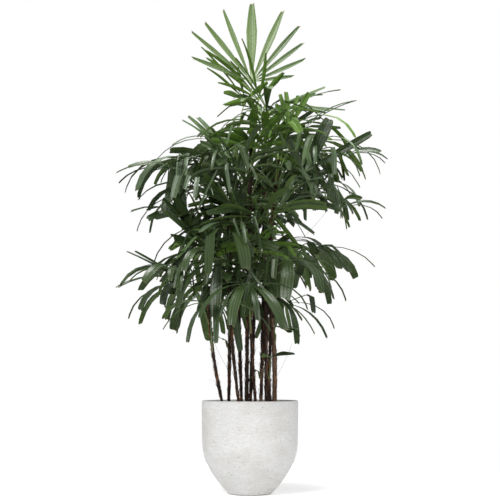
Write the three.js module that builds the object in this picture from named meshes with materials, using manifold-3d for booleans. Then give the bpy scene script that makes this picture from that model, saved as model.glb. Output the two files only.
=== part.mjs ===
// A potted lady palm (Rhapis excelsa): a clump of thin canes in a round stone-look pot, with fan fronds on
// slender stalks. Millimetres, +Z up, -Y towards the front, origin at the centre of the pot's underside.
import * as THREE from "three";
import { mergeVertices } from "three/addons/utils/BufferGeometryUtils.js";
import Module from "manifold-3d";

const wasm = await Module();
wasm.setup();

// ---- driving dimensions ----
const CLEARANCE = 0.3; // between solids that touch on the real plant

const POT = {
  height: 328,
  rimRadius: 173,
  shoulderRadius: 171, // where the upright wall turns into the bowl
  shoulderHeight: 184,
  footRadius: 75, // the flat underside
  footRound: 7,
  wall: 13,
  floor: 18,
  sides: 32,
  bowlSteps: 6,
};
const SOIL = { level: 294 };

const CANE = {
  footRadius: 9.5,
  tipRadius: 6,
  flare: 1.3, // at the soil, against the radius just above it
  flareHeight: 30,
  sides: 6,
  steps: 6,
};

// Each cane: where it leaves the soil, where it ends, over what length below its tip it bears fronds, the
// bearing of the lowest, their size against full-grown ones, and the dice of each frond from the lowest up.
const CANES = [
  {
    name: "left_outer",
    foot: [-96, -18],
    tip: [-151, -67, 733],
    leafy: 198,
    bearing: 304,
    size: 0.9,
    dice: [188, 826, 753, 953, 218],
  },
  {
    name: "left_back",
    foot: [-73, 34],
    tip: [-83, 64, 843],
    leafy: 223,
    bearing: 150,
    size: 1.02,
    dice: [910, 259, 463, 628, 100],
  },
  {
    name: "left_front",
    foot: [-46, -35],
    tip: [-73, -46, 1055],
    leafy: 308,
    bearing: 148,
    size: 0.87,
    dice: [293, 712, 22, 142, 296, 822],
  },
  {
    name: "left_inner",
    foot: [-32, 15],
    tip: [-34, 130, 1131],
    leafy: 197,
    bearing: 108,
    size: 0.96,
    dice: [541, 358, 985, 639, 191, 504],
  },
  {
    name: "leader",
    foot: [-12, -10],
    tip: [6, 0, 1290],
    leafy: 331,
    bearing: 322,
    size: 1,
    dice: [918, 900, 560, 939, 621, 180, 638, 701],
  },
  {
    name: "back",
    foot: [2, 45],
    tip: [35, 108, 1073],
    leafy: 260,
    bearing: 39,
    size: 0.98,
    dice: [127, 679, 301, 49, 286, 887],
  },
  {
    name: "front",
    foot: [20, -52],
    tip: [-10, -106, 836],
    leafy: 236,
    bearing: 266,
    size: 0.94,
    dice: [739, 954, 879, 150, 938],
  },
  {
    name: "right_inner",
    foot: [38, 10],
    tip: [49, 22, 1231],
    leafy: 207,
    bearing: 56,
    size: 1.07,
    dice: [661, 397, 568, 283, 760, 495, 749],
  },
  {
    name: "right_front",
    foot: [57, -30],
    tip: [103, -55, 1193],
    leafy: 187,
    bearing: 52,
    size: 0.89,
    dice: [307, 828, 963, 798, 794, 195, 309],
  },
  {
    name: "right_back",
    foot: [68, 40],
    tip: [112, 118, 891],
    leafy: 280,
    bearing: 92,
    size: 0.94,
    dice: [561, 26, 783, 309, 777],
  },
  {
    name: "right_outer",
    foot: [88, -5],
    tip: [28, -34, 893],
    leafy: 175,
    bearing: 295,
    size: 0.87,
    dice: [56, 414, 438, 318, 669],
  },
  {
    name: "sprout",
    foot: [74, -50],
    tip: [66, -64, 404],
    leafy: 0,
    bearing: 350,
    size: 0.4,
    dice: [482],
  },
];

// Topmost fronds that differ from the rule. The leader's is newly open, stiff and upright, with its face to the
// front, and two long-stalked ones lean to the left under it. The sprout's few leaflets are small and spread.
const CRESTS = {
  leader: {
    bearing: 90,
    stalk: 208,
    climb: 90,
    pitch: 80,
    droop: 5,
    width: 27,
    fan: 76,
    skew: 15,
    leaflets: 10,
    angles: [-73, -54, -39, -23, 0, 25, 42, 56, 72, 87],
    lengths: [228, 276, 269, 278, 280, 276, 258, 225, 202, 146],
  },
  right_inner: {
    bearing: 207,
    stalk: 206,
    climb: 77,
    pitch: 45,
    droop: 27,
    fan: 93,
    skew: 13,
    width: 27,
    leaflets: 9,
  },
  left_inner: {
    bearing: 168,
    stalk: 336,
    climb: 85,
    pitch: 39,
    droop: 17,
    fan: 90,
    skew: 6,
    width: 31,
    leaflets: 7,
  },
  sprout: {
    bearing: 350,
    stalk: 78,
    climb: 78,
    pitch: 5,
    droop: 40,
    width: 22,
    fan: 95,
    skew: 20,
    leaflets: 4,
    length: 94,
  },
};

const TURN = 137.5; // degrees between one frond and the next up the cane

const STALK = {
  baseRadius: 4.2,
  endRadius: 2.4,
  stand: 3.8, // from the cane's side to the middle of the stalk's base
  steps: 3,
  lowLength: 261, // of the lowest frond on a cane, and of the highest
  highLength: 180,
  lowRise: 32, // degrees above level
  highRise: 76,
  spread: 0.62, // how far a stalk turns away from the clump's middle
};

// The fibrous sheath round the cane, from which the stalks of two neighbouring fronds leave.
const SHEATH = { wall: 2, play: 0.6, below: 20, above: 6 };

const BLADE = {
  hubRadius: 14,
  hubCrown: 2.5, // the hub's rise above the roots of its leaflets
  lowPitch: -20, // degrees above level of the blade's middle line, on the lowest frond and the highest
  highPitch: 50,
  fan: 109, // degrees from the middle leaflet to the outermost
  lift: 15, // degrees that a leaflet rises from the blade's plane at its root
  lowDroop: 101, // degrees that it bends over its length
  highDroop: 34,
};

const LEAFLET = {
  length: 270,
  width: 39,
  rootWidth: 0.24, // of the full width
  widest: 0.55, // of the length
  tipWidth: 0.62, // of the full width
  keel: 3.4, // depth under the flat upper face
  sections: [0.3, 0.66, 1], // of the length
  room: 1.2, // that a leaflet keeps clear of its neighbours
};

const COLOURS = {
  pot: 0xe9e7e3,
  soil: 0x2b2019,
  cane: 0x2f221b,
  young: 0x5f9136,
  grown: 0x3f6a30,
  old: 0x2c4a2c,
};

// ---- small helpers ----
const DEG = Math.PI / 180;
const Z = new THREE.Vector3(0, 0, 1);
const mix = (a, b, t) => a + (b - a) * t;
const sum = (...terms) => terms.reduce((v, [x, k]) => v.addScaledVector(x, k), new THREE.Vector3());
const level = (bearing) => new THREE.Vector3(Math.cos(bearing * DEG), Math.sin(bearing * DEG), 0);

// A seeded row of numbers between -1 and 1, the same on every run.
function makeDice(seed) {
  let state = seed * 7919 + 104729;
  return () => {
    state = (state * 16807) % 2147483647;
    return (2 * state) / 2147483647 - 1;
  };
}

function solidOf(points, faces) {
  return new wasm.Manifold(
    new wasm.Mesh({
      numProp: 3,
      vertProperties: new Float32Array(points.flatMap((p) => [p.x, p.y, p.z])),
      triVerts: new Uint32Array(faces.flat()),
    }),
  );
}

function geometryOf(solid) {
  const mesh = solid.getMesh();
  const geometry = new THREE.BufferGeometry();
  const position = new Float32Array(mesh.vertProperties);
  geometry.setAttribute("position", new THREE.BufferAttribute(position, 3));
  geometry.setIndex(new THREE.BufferAttribute(new Uint32Array(mesh.triVerts), 1));
  geometry.computeVertexNormals();
  return geometry;
}

// A closed solid through rings of points that each run the same way round.
function loft(rings) {
  const n = rings[0].length;
  const faces = [];
  for (let k = 0; k + 1 < rings.length; k++) {
    for (let i = 0; i < n; i++) {
      const a = k * n + i;
      const b = k * n + ((i + 1) % n);
      faces.push([a, b, b + n], [a, b + n, a + n]);
    }
  }
  const last = (rings.length - 1) * n;
  for (let i = 1; i + 1 < n; i++) {
    faces.push([0, i + 1, i], [last, last + i, last + i + 1]);
  }
  return solidOf(rings.flat(), faces);
}

// A closed hoop through four rings of points: inside, outside, outside and inside again.
function hoop(rings) {
  const n = rings[0].length;
  const faces = [];
  for (let k = 0; k < 4; k++) {
    for (let i = 0; i < n; i++) {
      const j = (i + 1) % n;
      const [a, b] = [k * n, ((k + 1) % 4) * n];
      faces.push([a + i, a + j, b + j], [a + i, b + j, b + i]);
    }
  }
  return solidOf(rings.flat(), faces);
}

// A round bar along centres with a radius at each. `beside` fixes how its sides are turned.
function bar(centres, radii, sides, beside) {
  const rings = centres.map((centre, k) => {
    const ahead = centres[Math.min(k + 1, centres.length - 1)];
    const behind = centres[Math.max(k - 1, 0)];
    const along = ahead.clone().sub(behind).normalize();
    const across = sum([beside, 1], [along, -beside.dot(along)]).normalize();
    const third = along.clone().cross(across);
    return Array.from({ length: sides }, (_, i) => {
      const turn = (2 * Math.PI * i) / sides;
      return sum([centre, 1], [across, radii[k] * Math.cos(turn)], [third, radii[k] * Math.sin(turn)]);
    });
  });
  return loft(rings);
}

// ---- pot and soil ----
// The wall is nearly upright from the rim to the shoulder, and the bowl narrows as a parabola to the foot.
function bowlRadius(z) {
  const above = (z - POT.shoulderHeight) / (POT.height - POT.shoulderHeight);
  const below = (POT.shoulderHeight - z) / POT.shoulderHeight;
  const wall = mix(POT.shoulderRadius, POT.rimRadius, Math.max(0, above));
  return mix(POT.footRadius, wall, 1 - Math.max(0, below) ** 2);
}

// The wall's profile at a distance inside its outer face. Its steps close up towards the foot.
function wallLine(inset, bottom, top) {
  const line = [];
  for (let k = 0; k <= POT.bowlSteps; k++) {
    const z = mix(bottom, POT.shoulderHeight, (k / POT.bowlSteps) ** 1.4);
    line.push(new THREE.Vector2(bowlRadius(z) - inset, z));
  }
  line.push(new THREE.Vector2(bowlRadius(top) - inset, top));
  return line;
}

const turned = (profile) => new THREE.LatheGeometry(profile, POT.sides).rotateX(Math.PI / 2);

function potGeometry() {
  const rim = POT.height;
  return turned([
    new THREE.Vector2(0, 0),
    new THREE.Vector2(POT.footRadius, 0),
    ...wallLine(0, POT.footRound, rim - 3),
    new THREE.Vector2(POT.rimRadius - 3, rim),
    new THREE.Vector2(POT.rimRadius - POT.wall + 3, rim),
    ...wallLine(POT.wall, POT.floor, rim - 3).reverse(),
    new THREE.Vector2(0, POT.floor),
  ]);
}

// The soil has the same steps and sides as the pot's inside, so that the two stay parallel.
function soilGeometry() {
  const bottom = POT.floor + CLEARANCE;
  const [first, ...side] = wallLine(POT.wall + CLEARANCE, POT.floor, SOIL.level);
  return turned([
    new THREE.Vector2(0, bottom),
    new THREE.Vector2(first.x - CLEARANCE, bottom),
    ...side,
    new THREE.Vector2(0, SOIL.level),
  ]);
}

// ---- canes ----
const caneStart = (cane) => new THREE.Vector3(cane.foot[0], cane.foot[1], SOIL.level + CLEARANCE);
const caneEnd = (cane) => new THREE.Vector3(...cane.tip);

// A cane leaves the soil nearly upright and leans out higher up.
function caneAt(cane, t) {
  const start = caneStart(cane);
  const end = caneEnd(cane);
  const out = mix(t, t * t, 0.35);
  return new THREE.Vector3(mix(start.x, end.x, out), mix(start.y, end.y, out), mix(start.z, end.z, t));
}

const caneRadius = (t) => mix(CANE.footRadius, CANE.tipRadius, t);

// A level ring of points round a cane. Cane and sheath have the same sides, so that the two stay parallel.
function roundCane(cane, t, radius) {
  return Array.from({ length: CANE.sides }, (_, i) => {
    return sum([caneAt(cane, t), 1], [level((360 * i) / CANE.sides), radius]);
  });
}

// The sheath round a cane from below its lowest stalk to above its highest, open round the cane.
function sheathSolid(cane, lowest, highest) {
  const length = cane.tip[2] - SOIL.level;
  const stops = [lowest - SHEATH.below / length, highest + SHEATH.above / length];
  const ring = (t, wall) => roundCane(cane, t, caneRadius(t) + SHEATH.play + wall);
  return hoop([ring(stops[0], 0), ring(stops[0], SHEATH.wall), ring(stops[1], SHEATH.wall), ring(stops[1], 0)]);
}

function caneDirection(cane, t) {
  return caneAt(cane, Math.min(1, t + 0.02)).sub(caneAt(cane, Math.max(0, t - 0.02))).normalize();
}

function caneSolid(cane) {
  const length = cane.tip[2] - SOIL.level;
  const stops = [0, CANE.flareHeight / length];
  for (let k = 1; k <= CANE.steps; k++) {
    stops.push(mix(stops[1], 1, k / CANE.steps));
  }
  return loft(stops.map((t, k) => roundCane(cane, t, caneRadius(t) * (k === 0 ? CANE.flare : 1))));
}

// ---- fronds ----
// What one frond is like, from its cane and its place on it, before it is fitted among its neighbours.
function frondPlan(cane, k) {
  const dice = makeDice(cane.dice[k]);
  const last = cane.dice.length - 1;
  const age = last ? 1 - k / last : 0; // 1 at the lowest frond, 0 at the highest
  const rise = 1 - age;
  const top = k === last;
  const place = top ? 1 : 1 - (cane.leafy * age + 14) / (cane.tip[2] - SOIL.level);
  const own = level(cane.bearing + TURN * k + 12 * dice());
  const out = new THREE.Vector3(cane.tip[0], cane.tip[1], 0);
  const pull = STALK.spread * Math.min(1, out.length() / 90);
  const heading = sum([own, 1], [out.normalize(), pull]).normalize();
  const plan = {
    cane,
    place,
    top,
    age,
    dice,
    bearing: Math.atan2(heading.y, heading.x) / DEG,
    stalk: mix(STALK.highLength, STALK.lowLength, age ** 0.7) * cane.size * (1 + 0.12 * dice()),
    climb: mix(STALK.lowRise, STALK.highRise, rise ** 1.3) + 6 * dice(),
    pitch: mix(BLADE.lowPitch, BLADE.highPitch, rise ** 2) + 8 * dice(),
    droop: mix(BLADE.highDroop, BLADE.lowDroop, age ** 0.6) + 8 * dice(),
    leaflets: Math.round(mix(8, 6.6, age) + 0.8 * dice() - 2.5 * Math.max(0, 0.9 - cane.size)),
    length: LEAFLET.length * cane.size * (1 + 0.07 * dice()),
    width: LEAFLET.width * Math.min(1, cane.size * 1.3) * (1 + 0.12 * dice()),
    fan: BLADE.fan * (1 + 0.05 * dice()),
    skew: 10 * dice(), // how far the blade is turned in its own plane
  };
  return top ? { ...plan, ...CRESTS[cane.name] } : plan;
}

// The stalk's centre line, from the side of its cane, or from the cane's tip, to the hub.
function stalkLine(plan, turn, lift) {
  const { cane, place, top } = plan;
  const heading = level(plan.bearing + turn);
  const up = caneDirection(cane, place);
  const start = top
    ? sum([caneAt(cane, 1), 1], [up, CLEARANCE + 0.6])
    : sum([caneAt(cane, place), 1], [heading, caneRadius(place) + STALK.stand]);
  const climb = (plan.climb + lift) * DEG;
  const hub = sum([start, 1], [heading, plan.stalk * Math.cos(climb)], [Z, plan.stalk * Math.sin(climb)]);
  const elbow = sum([start, 1], [up, plan.stalk * 0.5], [heading, plan.stalk * 0.12]);
  const at = (t) => sum([start, (1 - t) ** 2], [elbow, 2 * t * (1 - t)], [hub, t * t]);
  return { heading, hub, at };
}

function stalkSolid(line, extra = 0) {
  const centres = [];
  const radii = [];
  for (let k = 0; k <= STALK.steps; k++) {
    const t = k / STALK.steps;
    centres.push(line.at(t));
    radii.push(mix(STALK.baseRadius, STALK.endRadius, t ** 0.6) + extra);
  }
  const beside = new THREE.Vector3(-line.heading.y, line.heading.x, 0);
  return bar(centres, radii, 3, beside);
}

// The blade's own frame at the hub: forward along its middle leaflet, its upper side, and across.
function bladeFrame(plan, line) {
  const pitch = plan.pitch * DEG;
  const forward = sum([line.heading, Math.cos(pitch)], [Z, Math.sin(pitch)]);
  const upper = sum([line.heading, -Math.sin(pitch)], [Z, Math.cos(pitch)]);
  return { forward, upper, across: forward.clone().cross(upper) };
}

// Root angles, lengths, widths and bends of a frond's leaflets.
function leafletPlans(plan) {
  const n = plan.leaflets;
  const step = (2 * plan.fan) / (n - 1);
  const spread = (_, i) => plan.skew - plan.fan + step * (i + 0.16 * plan.dice());
  const angles = plan.angles ?? Array.from({ length: n }, spread);
  return angles.map((angle, i) => {
    const side = Math.min(1, Math.abs(angle - plan.skew) / plan.fan);
    return {
      angle,
      from: i === 0 ? angle - step / 2 : (angles[i - 1] + angle) / 2,
      to: i === n - 1 ? angle + step / 2 : (angle + angles[i + 1]) / 2,
      length: plan.lengths?.[i] ?? plan.length * (1 - 0.26 * side ** 1.6) * (1 + 0.05 * plan.dice()),
      width: plan.width * (1 - 0.3 * side) * (1 + 0.1 * plan.dice()),
      lift: BLADE.lift + 4 * plan.dice(),
      droop: plan.droop * (1 + 0.12 * plan.dice()),
      roll: 10 * Math.sin(angle * DEG) + 8 * plan.dice(),
    };
  });
}

function onHub(frame, hub, angle, radius) {
  const turn = angle * DEG;
  return sum([hub, 1], [frame.forward, radius * Math.cos(turn)], [frame.across, radius * Math.sin(turn)]);
}

// A leaflet's root on the hub: its left edge, right edge and keel.
function rootRing(frame, hub, leaf, room) {
  const half = ((leaf.to - leaf.from) / 2) * DEG;
  const wider = room / BLADE.hubRadius / DEG;
  const left = onHub(frame, hub, leaf.from - wider, BLADE.hubRadius);
  const right = onHub(frame, hub, leaf.to + wider, BLADE.hubRadius);
  const keel = onHub(frame, hub, leaf.angle, BLADE.hubRadius * Math.cos(half));
  return [
    sum([left, 1], [frame.upper, room]),
    sum([right, 1], [frame.upper, room]),
    sum([keel, 1], [frame.upper, -LEAFLET.keel - room]),
  ];
}

function leafletWidth(s) {
  if (s < LEAFLET.widest) {
    return mix(LEAFLET.rootWidth, 1, Math.sin(((Math.PI / 2) * s) / LEAFLET.widest));
  }
  return mix(1, LEAFLET.tipWidth, ((s - LEAFLET.widest) / (1 - LEAFLET.widest)) ** 2);
}

// A leaflet's rings, each left edge, right edge and keel. It bends evenly about its own width, and no further
// than straight down. `change` is how it gives way to a neighbour, and `room` makes it larger all round.
function leafletRings(frame, hub, leaf, change, room) {
  const angle = leaf.angle + change.angle;
  const flat = sum([frame.forward, Math.cos(angle * DEG)], [frame.across, Math.sin(angle * DEG)]);
  const lift = leaf.lift * DEG;
  const ahead = sum([flat, Math.cos(lift)], [frame.upper, Math.sin(lift)]);
  const above = sum([flat, -Math.sin(lift)], [frame.upper, Math.cos(lift)]);
  const side = ahead.clone().cross(above);
  const roll = leaf.roll * DEG;
  const face = sum([above, Math.cos(roll)], [side, Math.sin(roll)]);
  const right = sum([side, Math.cos(roll)], [above, -Math.sin(roll)]);
  const weight = 0.3 + 0.7 * Math.max(0, face.z);
  const most = Math.atan2(face.z, -ahead.z) - 8 * DEG;
  const bend = Math.min((leaf.droop + change.droop) * weight * DEG, Math.max(most, 0));
  const length = leaf.length * change.length;
  const rings = [rootRing(frame, hub, leaf, room)];
  const steps = 24;
  const stops = LEAFLET.sections;
  const spot = onHub(frame, hub, angle, BLADE.hubRadius);
  const ring = (s) => {
    const turn = bend * s ** 1.3;
    const normal = sum([face, Math.cos(turn)], [ahead, Math.sin(turn)]);
    const half = (leaf.width * leafletWidth(s)) / 2 + room;
    return [
      sum([spot, 1], [right, -half], [normal, room]),
      sum([spot, 1], [right, half], [normal, room]),
      sum([spot, 1], [normal, -LEAFLET.keel - room]),
    ];
  };
  let next = 0;
  for (let k = 0; k <= steps; k++) {
    if (next < stops.length && k >= Math.round(stops[next] * steps)) {
      rings.push(ring(k / steps));
      next++;
    }
    const turn = bend * ((k + 0.5) / steps) ** 1.3;
    spot.add(sum([ahead, (Math.cos(turn) * length) / steps], [face, (-Math.sin(turn) * length) / steps]));
  }
  return rings;
}

// The hub and its leaflets as one closed blade, cut to the hub between them. A leaflet with no rings was
// left out, and its root on the hub is closed.
function bladeSolid(frame, hub, leaves) {
  const n = leaves.length;
  const points = [
    sum([hub, 1], [frame.upper, BLADE.hubCrown]),
    sum([hub, 1], [frame.upper, -LEAFLET.keel - BLADE.hubCrown]),
    onHub(frame, hub, 180, BLADE.hubRadius),
  ];
  const [crown, under, rear] = [0, 1, 2];
  const faces = [];
  const edge = leaves.map((leaf) => points.push(onHub(frame, hub, leaf.from, BLADE.hubRadius)) - 1);
  edge.push(points.push(onHub(frame, hub, leaves[n - 1].to, BLADE.hubRadius)) - 1);
  const keel = leaves.map((leaf) => points.push(rootRing(frame, hub, leaf, 0)[2]) - 1);
  leaves.forEach((leaf, i) => {
    let ring = [edge[i], edge[i + 1], keel[i]];
    for (const next of leaf.rings ? leaf.rings.slice(1) : []) {
      const at = next.map((p) => points.push(p) - 1);
      for (let j = 0; j < 3; j++) {
        const k = (j + 1) % 3;
        faces.push([ring[j], ring[k], at[k]], [ring[j], at[k], at[j]]);
      }
      ring = at;
    }
    faces.push(ring, [crown, edge[i + 1], edge[i]]);
    if (i > 0) {
      faces.push([keel[i - 1], edge[i], keel[i]], [under, keel[i - 1], keel[i]]);
    }
  });
  faces.push([crown, edge[0], rear], [crown, rear, edge[n]]);
  faces.push([under, edge[0], keel[0]], [under, keel[n - 1], edge[n]]);
  faces.push([under, rear, edge[0]], [under, edge[n], rear]);
  return solidOf(points, faces);
}

// A ball of twenty faces that holds the hub and the roots of its leaflets, and `extra` round them.
function hubRoom(hub, extra) {
  const ball = new THREE.IcosahedronGeometry((BLADE.hubRadius + extra) / 0.795, 0);
  ball.translate(hub.x, hub.y, hub.z);
  ball.deleteAttribute("normal");
  ball.deleteAttribute("uv");
  const { attributes, index } = mergeVertices(ball, 1e-3);
  const vertProperties = new Float32Array(attributes.position.array);
  const triVerts = new Uint32Array(index.array);
  return new wasm.Manifold(new wasm.Mesh({ numProp: 3, vertProperties, triVerts }));
}

// ---- fitting every frond among its neighbours ----
const standing = []; // every solid placed so far, with the frond or cane that it belongs to

function boxOf(solid) {
  const { min, max } = solid.boundingBox();
  return { min, max };
}

const apart = (a, b) => [0, 1, 2].some((i) => a.min[i] > b.max[i] || b.min[i] > a.max[i]);

function put(solid, owner, part) {
  standing.push({ solid, box: boxOf(solid), owner, part });
}

// Whether a solid is clear of all that stands, but for what `own` picks out.
function clear(solid, own) {
  const box = boxOf(solid);
  return standing.every((s) => own(s) || apart(box, s.box) || solid.intersect(s.solid).isEmpty());
}

// What a stalk may do to find room, in degrees, from the least to the most.
function stalkChanges() {
  const changes = [];
  for (const lift of [0, 8, -8, 16]) {
    for (const turn of [0, 12, -12, 24, -24, 38, -38]) {
      changes.push({ turn, lift });
    }
  }
  return changes;
}

// What a leaflet may do, in degrees and as a share of its length.
function leafletChanges() {
  const droops = [0, 14, -14, 0, 0, 30, -30, 12, 12, 48, -48, -20, -20];
  const angles = [0, 0, 0, 4, -4, 0, 0, 8, -8, 3, -3, 9, -9];
  return [1, 0.92, 0.82, 0.7, 0.58].flatMap((length) => {
    return droops.map((droop, i) => ({ length, droop, angle: angles[i] }));
  });
}

// The fronds of a cane two by two from the lowest, each pair on one sheath, and the topmost on the cane's tip.
function frondGroups(cane) {
  const last = cane.dice.length - 1;
  const groups = [];
  for (let k = 0; k < last; k += 2) {
    groups.push(k + 1 < last ? [k, k + 1] : [k]);
  }
  return [...groups, [last]];
}

const canes = CANES.map((cane) => ({ ...cane, solid: caneSolid(cane) }));
canes.forEach((cane) => put(cane.solid, cane.name, "cane"));

const groups = canes.flatMap((cane) => frondGroups(cane).map((members) => ({ cane, members })));
for (const group of groups) {
  const plans = group.members.map((k) => frondPlan(group.cane, k));
  group.name = `frond_${group.cane.name}_${group.members.map((k) => k + 1).join("_")}`;
  group.fronds = plans.map((plan, i) => ({ plan, group, name: `${group.cane.name}_${group.members[i] + 1}` }));
  if (!plans[0].top) {
    group.sheath = sheathSolid(group.cane, plans[0].place, plans[plans.length - 1].place);
    put(group.sheath, group.name, "sheath");
  }
}

const fronds = groups.flatMap((group) => group.fronds);
for (const frond of fronds) {
  const { plan, group } = frond;
  const onSheath = (s) => s.owner === group.name;
  const change = stalkChanges().find(({ turn, lift }) => {
    const line = stalkLine(plan, turn, lift);
    const hub = hubRoom(line.hub, 1 + LEAFLET.room);
    return clear(hub, () => false) && clear(stalkSolid(line, LEAFLET.room), onSheath);
  });
  if (change) {
    frond.line = stalkLine(plan, change.turn, change.lift);
    frond.frame = bladeFrame(plan, frond.line);
    put(hubRoom(frond.line.hub, 1), frond.name, "hub");
    put(stalkSolid(frond.line), frond.name, "stalk");
  }
}

// The leaflets that reach furthest out choose their places first.
const noChange = { angle: 0, droop: 0, length: 1 };
const leaflets = fronds
  .filter((frond) => frond.line)
  .flatMap((frond) => {
    frond.leaves = leafletPlans(frond.plan);
    return frond.leaves.map((leaf) => {
      const tip = leafletRings(frond.frame, frond.line.hub, leaf, noChange, 0).at(-1)[0];
      return { frond, leaf, reach: Math.hypot(tip.x, tip.y) };
    });
  })
  .sort((a, b) => b.reach - a.reach);

for (const { frond, leaf } of leaflets) {
  const { name, line, frame } = frond;
  const ownFrond = (s) => s.owner === name;
  const ownRoot = (s) => s.owner === name && s.part !== "leaf" && s.part !== "stalk";
  const change = leafletChanges().find((c) => {
    const rings = leafletRings(frame, line.hub, leaf, c, LEAFLET.room);
    return clear(loft(rings), ownFrond) && clear(loft(rings.slice(1)), ownRoot);
  });
  if (change) {
    leaf.rings = leafletRings(frame, line.hub, leaf, change, 0);
    put(loft(leaf.rings.slice(1)), name, "leaf");
    put(loft(leaf.rings.slice(0, 2)), name, "root");
  }
}

// ---- the assembly ----
const potMaterial = new THREE.MeshStandardMaterial({ color: COLOURS.pot, roughness: 0.9, metalness: 0 });
const soilMaterial = new THREE.MeshStandardMaterial({ color: COLOURS.soil, roughness: 1, metalness: 0 });
const caneMaterial = new THREE.MeshStandardMaterial({ color: COLOURS.cane, roughness: 0.95, metalness: 0 });

// The fronds high on the plant are the youngest and brightest.
function leafMaterial(height) {
  const color = height > 1290 ? COLOURS.young : height > 1000 ? COLOURS.grown : COLOURS.old;
  return new THREE.MeshStandardMaterial({ color, roughness: 0.45, metalness: 0 });
}

function named(name, geometry, material) {
  const mesh = new THREE.Mesh(geometry, material);
  mesh.name = name;
  return mesh;
}

const palm = new THREE.Group();
palm.add(named("pot", potGeometry(), potMaterial), named("soil", soilGeometry(), soilMaterial));
for (const cane of canes) {
  palm.add(named(`cane_${cane.name}`, geometryOf(cane.solid), caneMaterial));
}
for (const group of groups) {
  const grown = group.fronds.filter((frond) => frond.leaves);
  if (grown.length) {
    const parts = grown.map((f) => bladeSolid(f.frame, f.line.hub, f.leaves).add(stalkSolid(f.line)));
    const solid = (group.sheath ? [...parts, group.sheath] : parts).reduce((a, b) => a.add(b));
    palm.add(named(group.name, geometryOf(solid), leafMaterial(grown[0].line.hub.z)));
  }
}

export default palm;
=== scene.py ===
import math
import random

import bmesh
import bpy
import numpy as np
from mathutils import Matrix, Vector, noise
from mathutils.kdtree import KDTree


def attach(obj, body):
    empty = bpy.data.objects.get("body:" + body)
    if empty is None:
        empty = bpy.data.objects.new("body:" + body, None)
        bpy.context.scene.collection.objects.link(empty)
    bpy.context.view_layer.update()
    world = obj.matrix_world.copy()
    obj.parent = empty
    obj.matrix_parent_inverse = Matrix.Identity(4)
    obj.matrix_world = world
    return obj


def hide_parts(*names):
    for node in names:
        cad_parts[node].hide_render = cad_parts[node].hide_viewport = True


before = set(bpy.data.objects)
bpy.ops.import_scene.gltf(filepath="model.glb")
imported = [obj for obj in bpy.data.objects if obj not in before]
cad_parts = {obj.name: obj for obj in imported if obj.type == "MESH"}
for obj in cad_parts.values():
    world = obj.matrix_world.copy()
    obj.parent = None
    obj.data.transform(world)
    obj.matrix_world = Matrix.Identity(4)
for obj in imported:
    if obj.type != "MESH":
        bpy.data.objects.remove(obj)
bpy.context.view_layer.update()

deg = math.pi / 180
mm = 0.001  # sizes below are in millimetres, meshes in metres
up = np.array([0, 0, 1.0])
even = (1, 1, 1)  # a grain that is stretched no way


def mix(a, b, t):
    return a + (b - a) * t


def unit(v):
    return v / np.linalg.norm(v)


def level(bearing):  # a level direction, from degrees
    return np.array([math.cos(bearing * deg), math.sin(bearing * deg), 0.0])


def makeDice(seed):  # numbers from -1 to 1, the same on every run
    state = seed * 7919 + 104729

    def roll():
        nonlocal state
        state = state * 16807 % 2147483647
        return 2 * state / 2147483647 - 1

    return roll


def chance(dice):  # from 0 to 1
    return 0.5 + 0.5 * dice()


def pick(span, dice, power=1):  # a size between the ends of its span, near the first where power is high
    return mix(*span, chance(dice) ** power)


def tone(red, green, blue):  # a screen colour from 0 to 255, as a shader reads it
    def linear(c):
        return c / 12.92 if c <= 0.04045 else ((c + 0.055) / 1.055) ** 2.4
    return (linear(red / 255), linear(green / 255), linear(blue / 255), 1.0)


def unevenness(point, waves):  # each wave is how often it comes and how much it is
    return sum(noise.noise(point * often) * much for often, much in waves)


def newPile():  # many small shapes are gathered here and joined into one mesh
    return {"points": [], "faces": [], "slots": [], "across": [], "along": [], "tint": [], "count": 0}


def addToPile(pile, points, faces, slots, across=0.0, along=0.0, tint=0.5):
    start, n = pile["count"], len(points)
    pile["points"].append(np.asarray(points, float))
    pile["faces"].extend([tuple(i + start for i in face) for face in faces])
    pile["slots"].extend([slots] * len(faces) if isinstance(slots, int) else slots)
    for key, value in (("across", across), ("along", along), ("tint", tint)):
        pile[key].append(np.broadcast_to(value, n))
    pile["count"] = start + n


def finishPiece(name, mesh, materials, sharp):
    for material in materials:
        mesh.materials.append(material)
    mesh.polygons.foreach_set("use_smooth", [True] * len(mesh.polygons))
    mesh.set_sharp_from_angle(angle=sharp * deg)
    mesh.update()
    piece = bpy.data.objects.new(name, mesh)
    bpy.context.scene.collection.objects.link(piece)
    return piece


def pieceFromPile(name, pile, materials, sharp):
    mesh = bpy.data.meshes.new(name)
    mesh.from_pydata(np.concatenate(pile["points"]) * mm, [], pile["faces"])
    mesh.polygons.foreach_set("material_index", pile["slots"])
    corner = np.zeros(len(mesh.loops), int)
    mesh.loops.foreach_get("vertex_index", corner)
    uv = np.stack([np.concatenate(pile["across"]), np.concatenate(pile["along"])], 1)
    mesh.uv_layers.new(name="blade").data.foreach_set("uv", uv[corner].ravel())
    tint = mesh.attributes.new("tint", "FLOAT", "POINT")
    tint.data.foreach_set("value", np.concatenate(pile["tint"]))
    return finishPiece(name, mesh, materials, sharp)


def pieceFromBmesh(name, bm, materials, sharp):
    bmesh.ops.recalc_face_normals(bm, faces=bm.faces)
    mesh = bpy.data.meshes.new(name)
    bm.to_mesh(mesh)
    bm.free()
    return finishPiece(name, mesh, materials, sharp)


def place(piece, nodes=()):
    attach(piece, "root")
    if nodes:
        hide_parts(*nodes)


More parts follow.
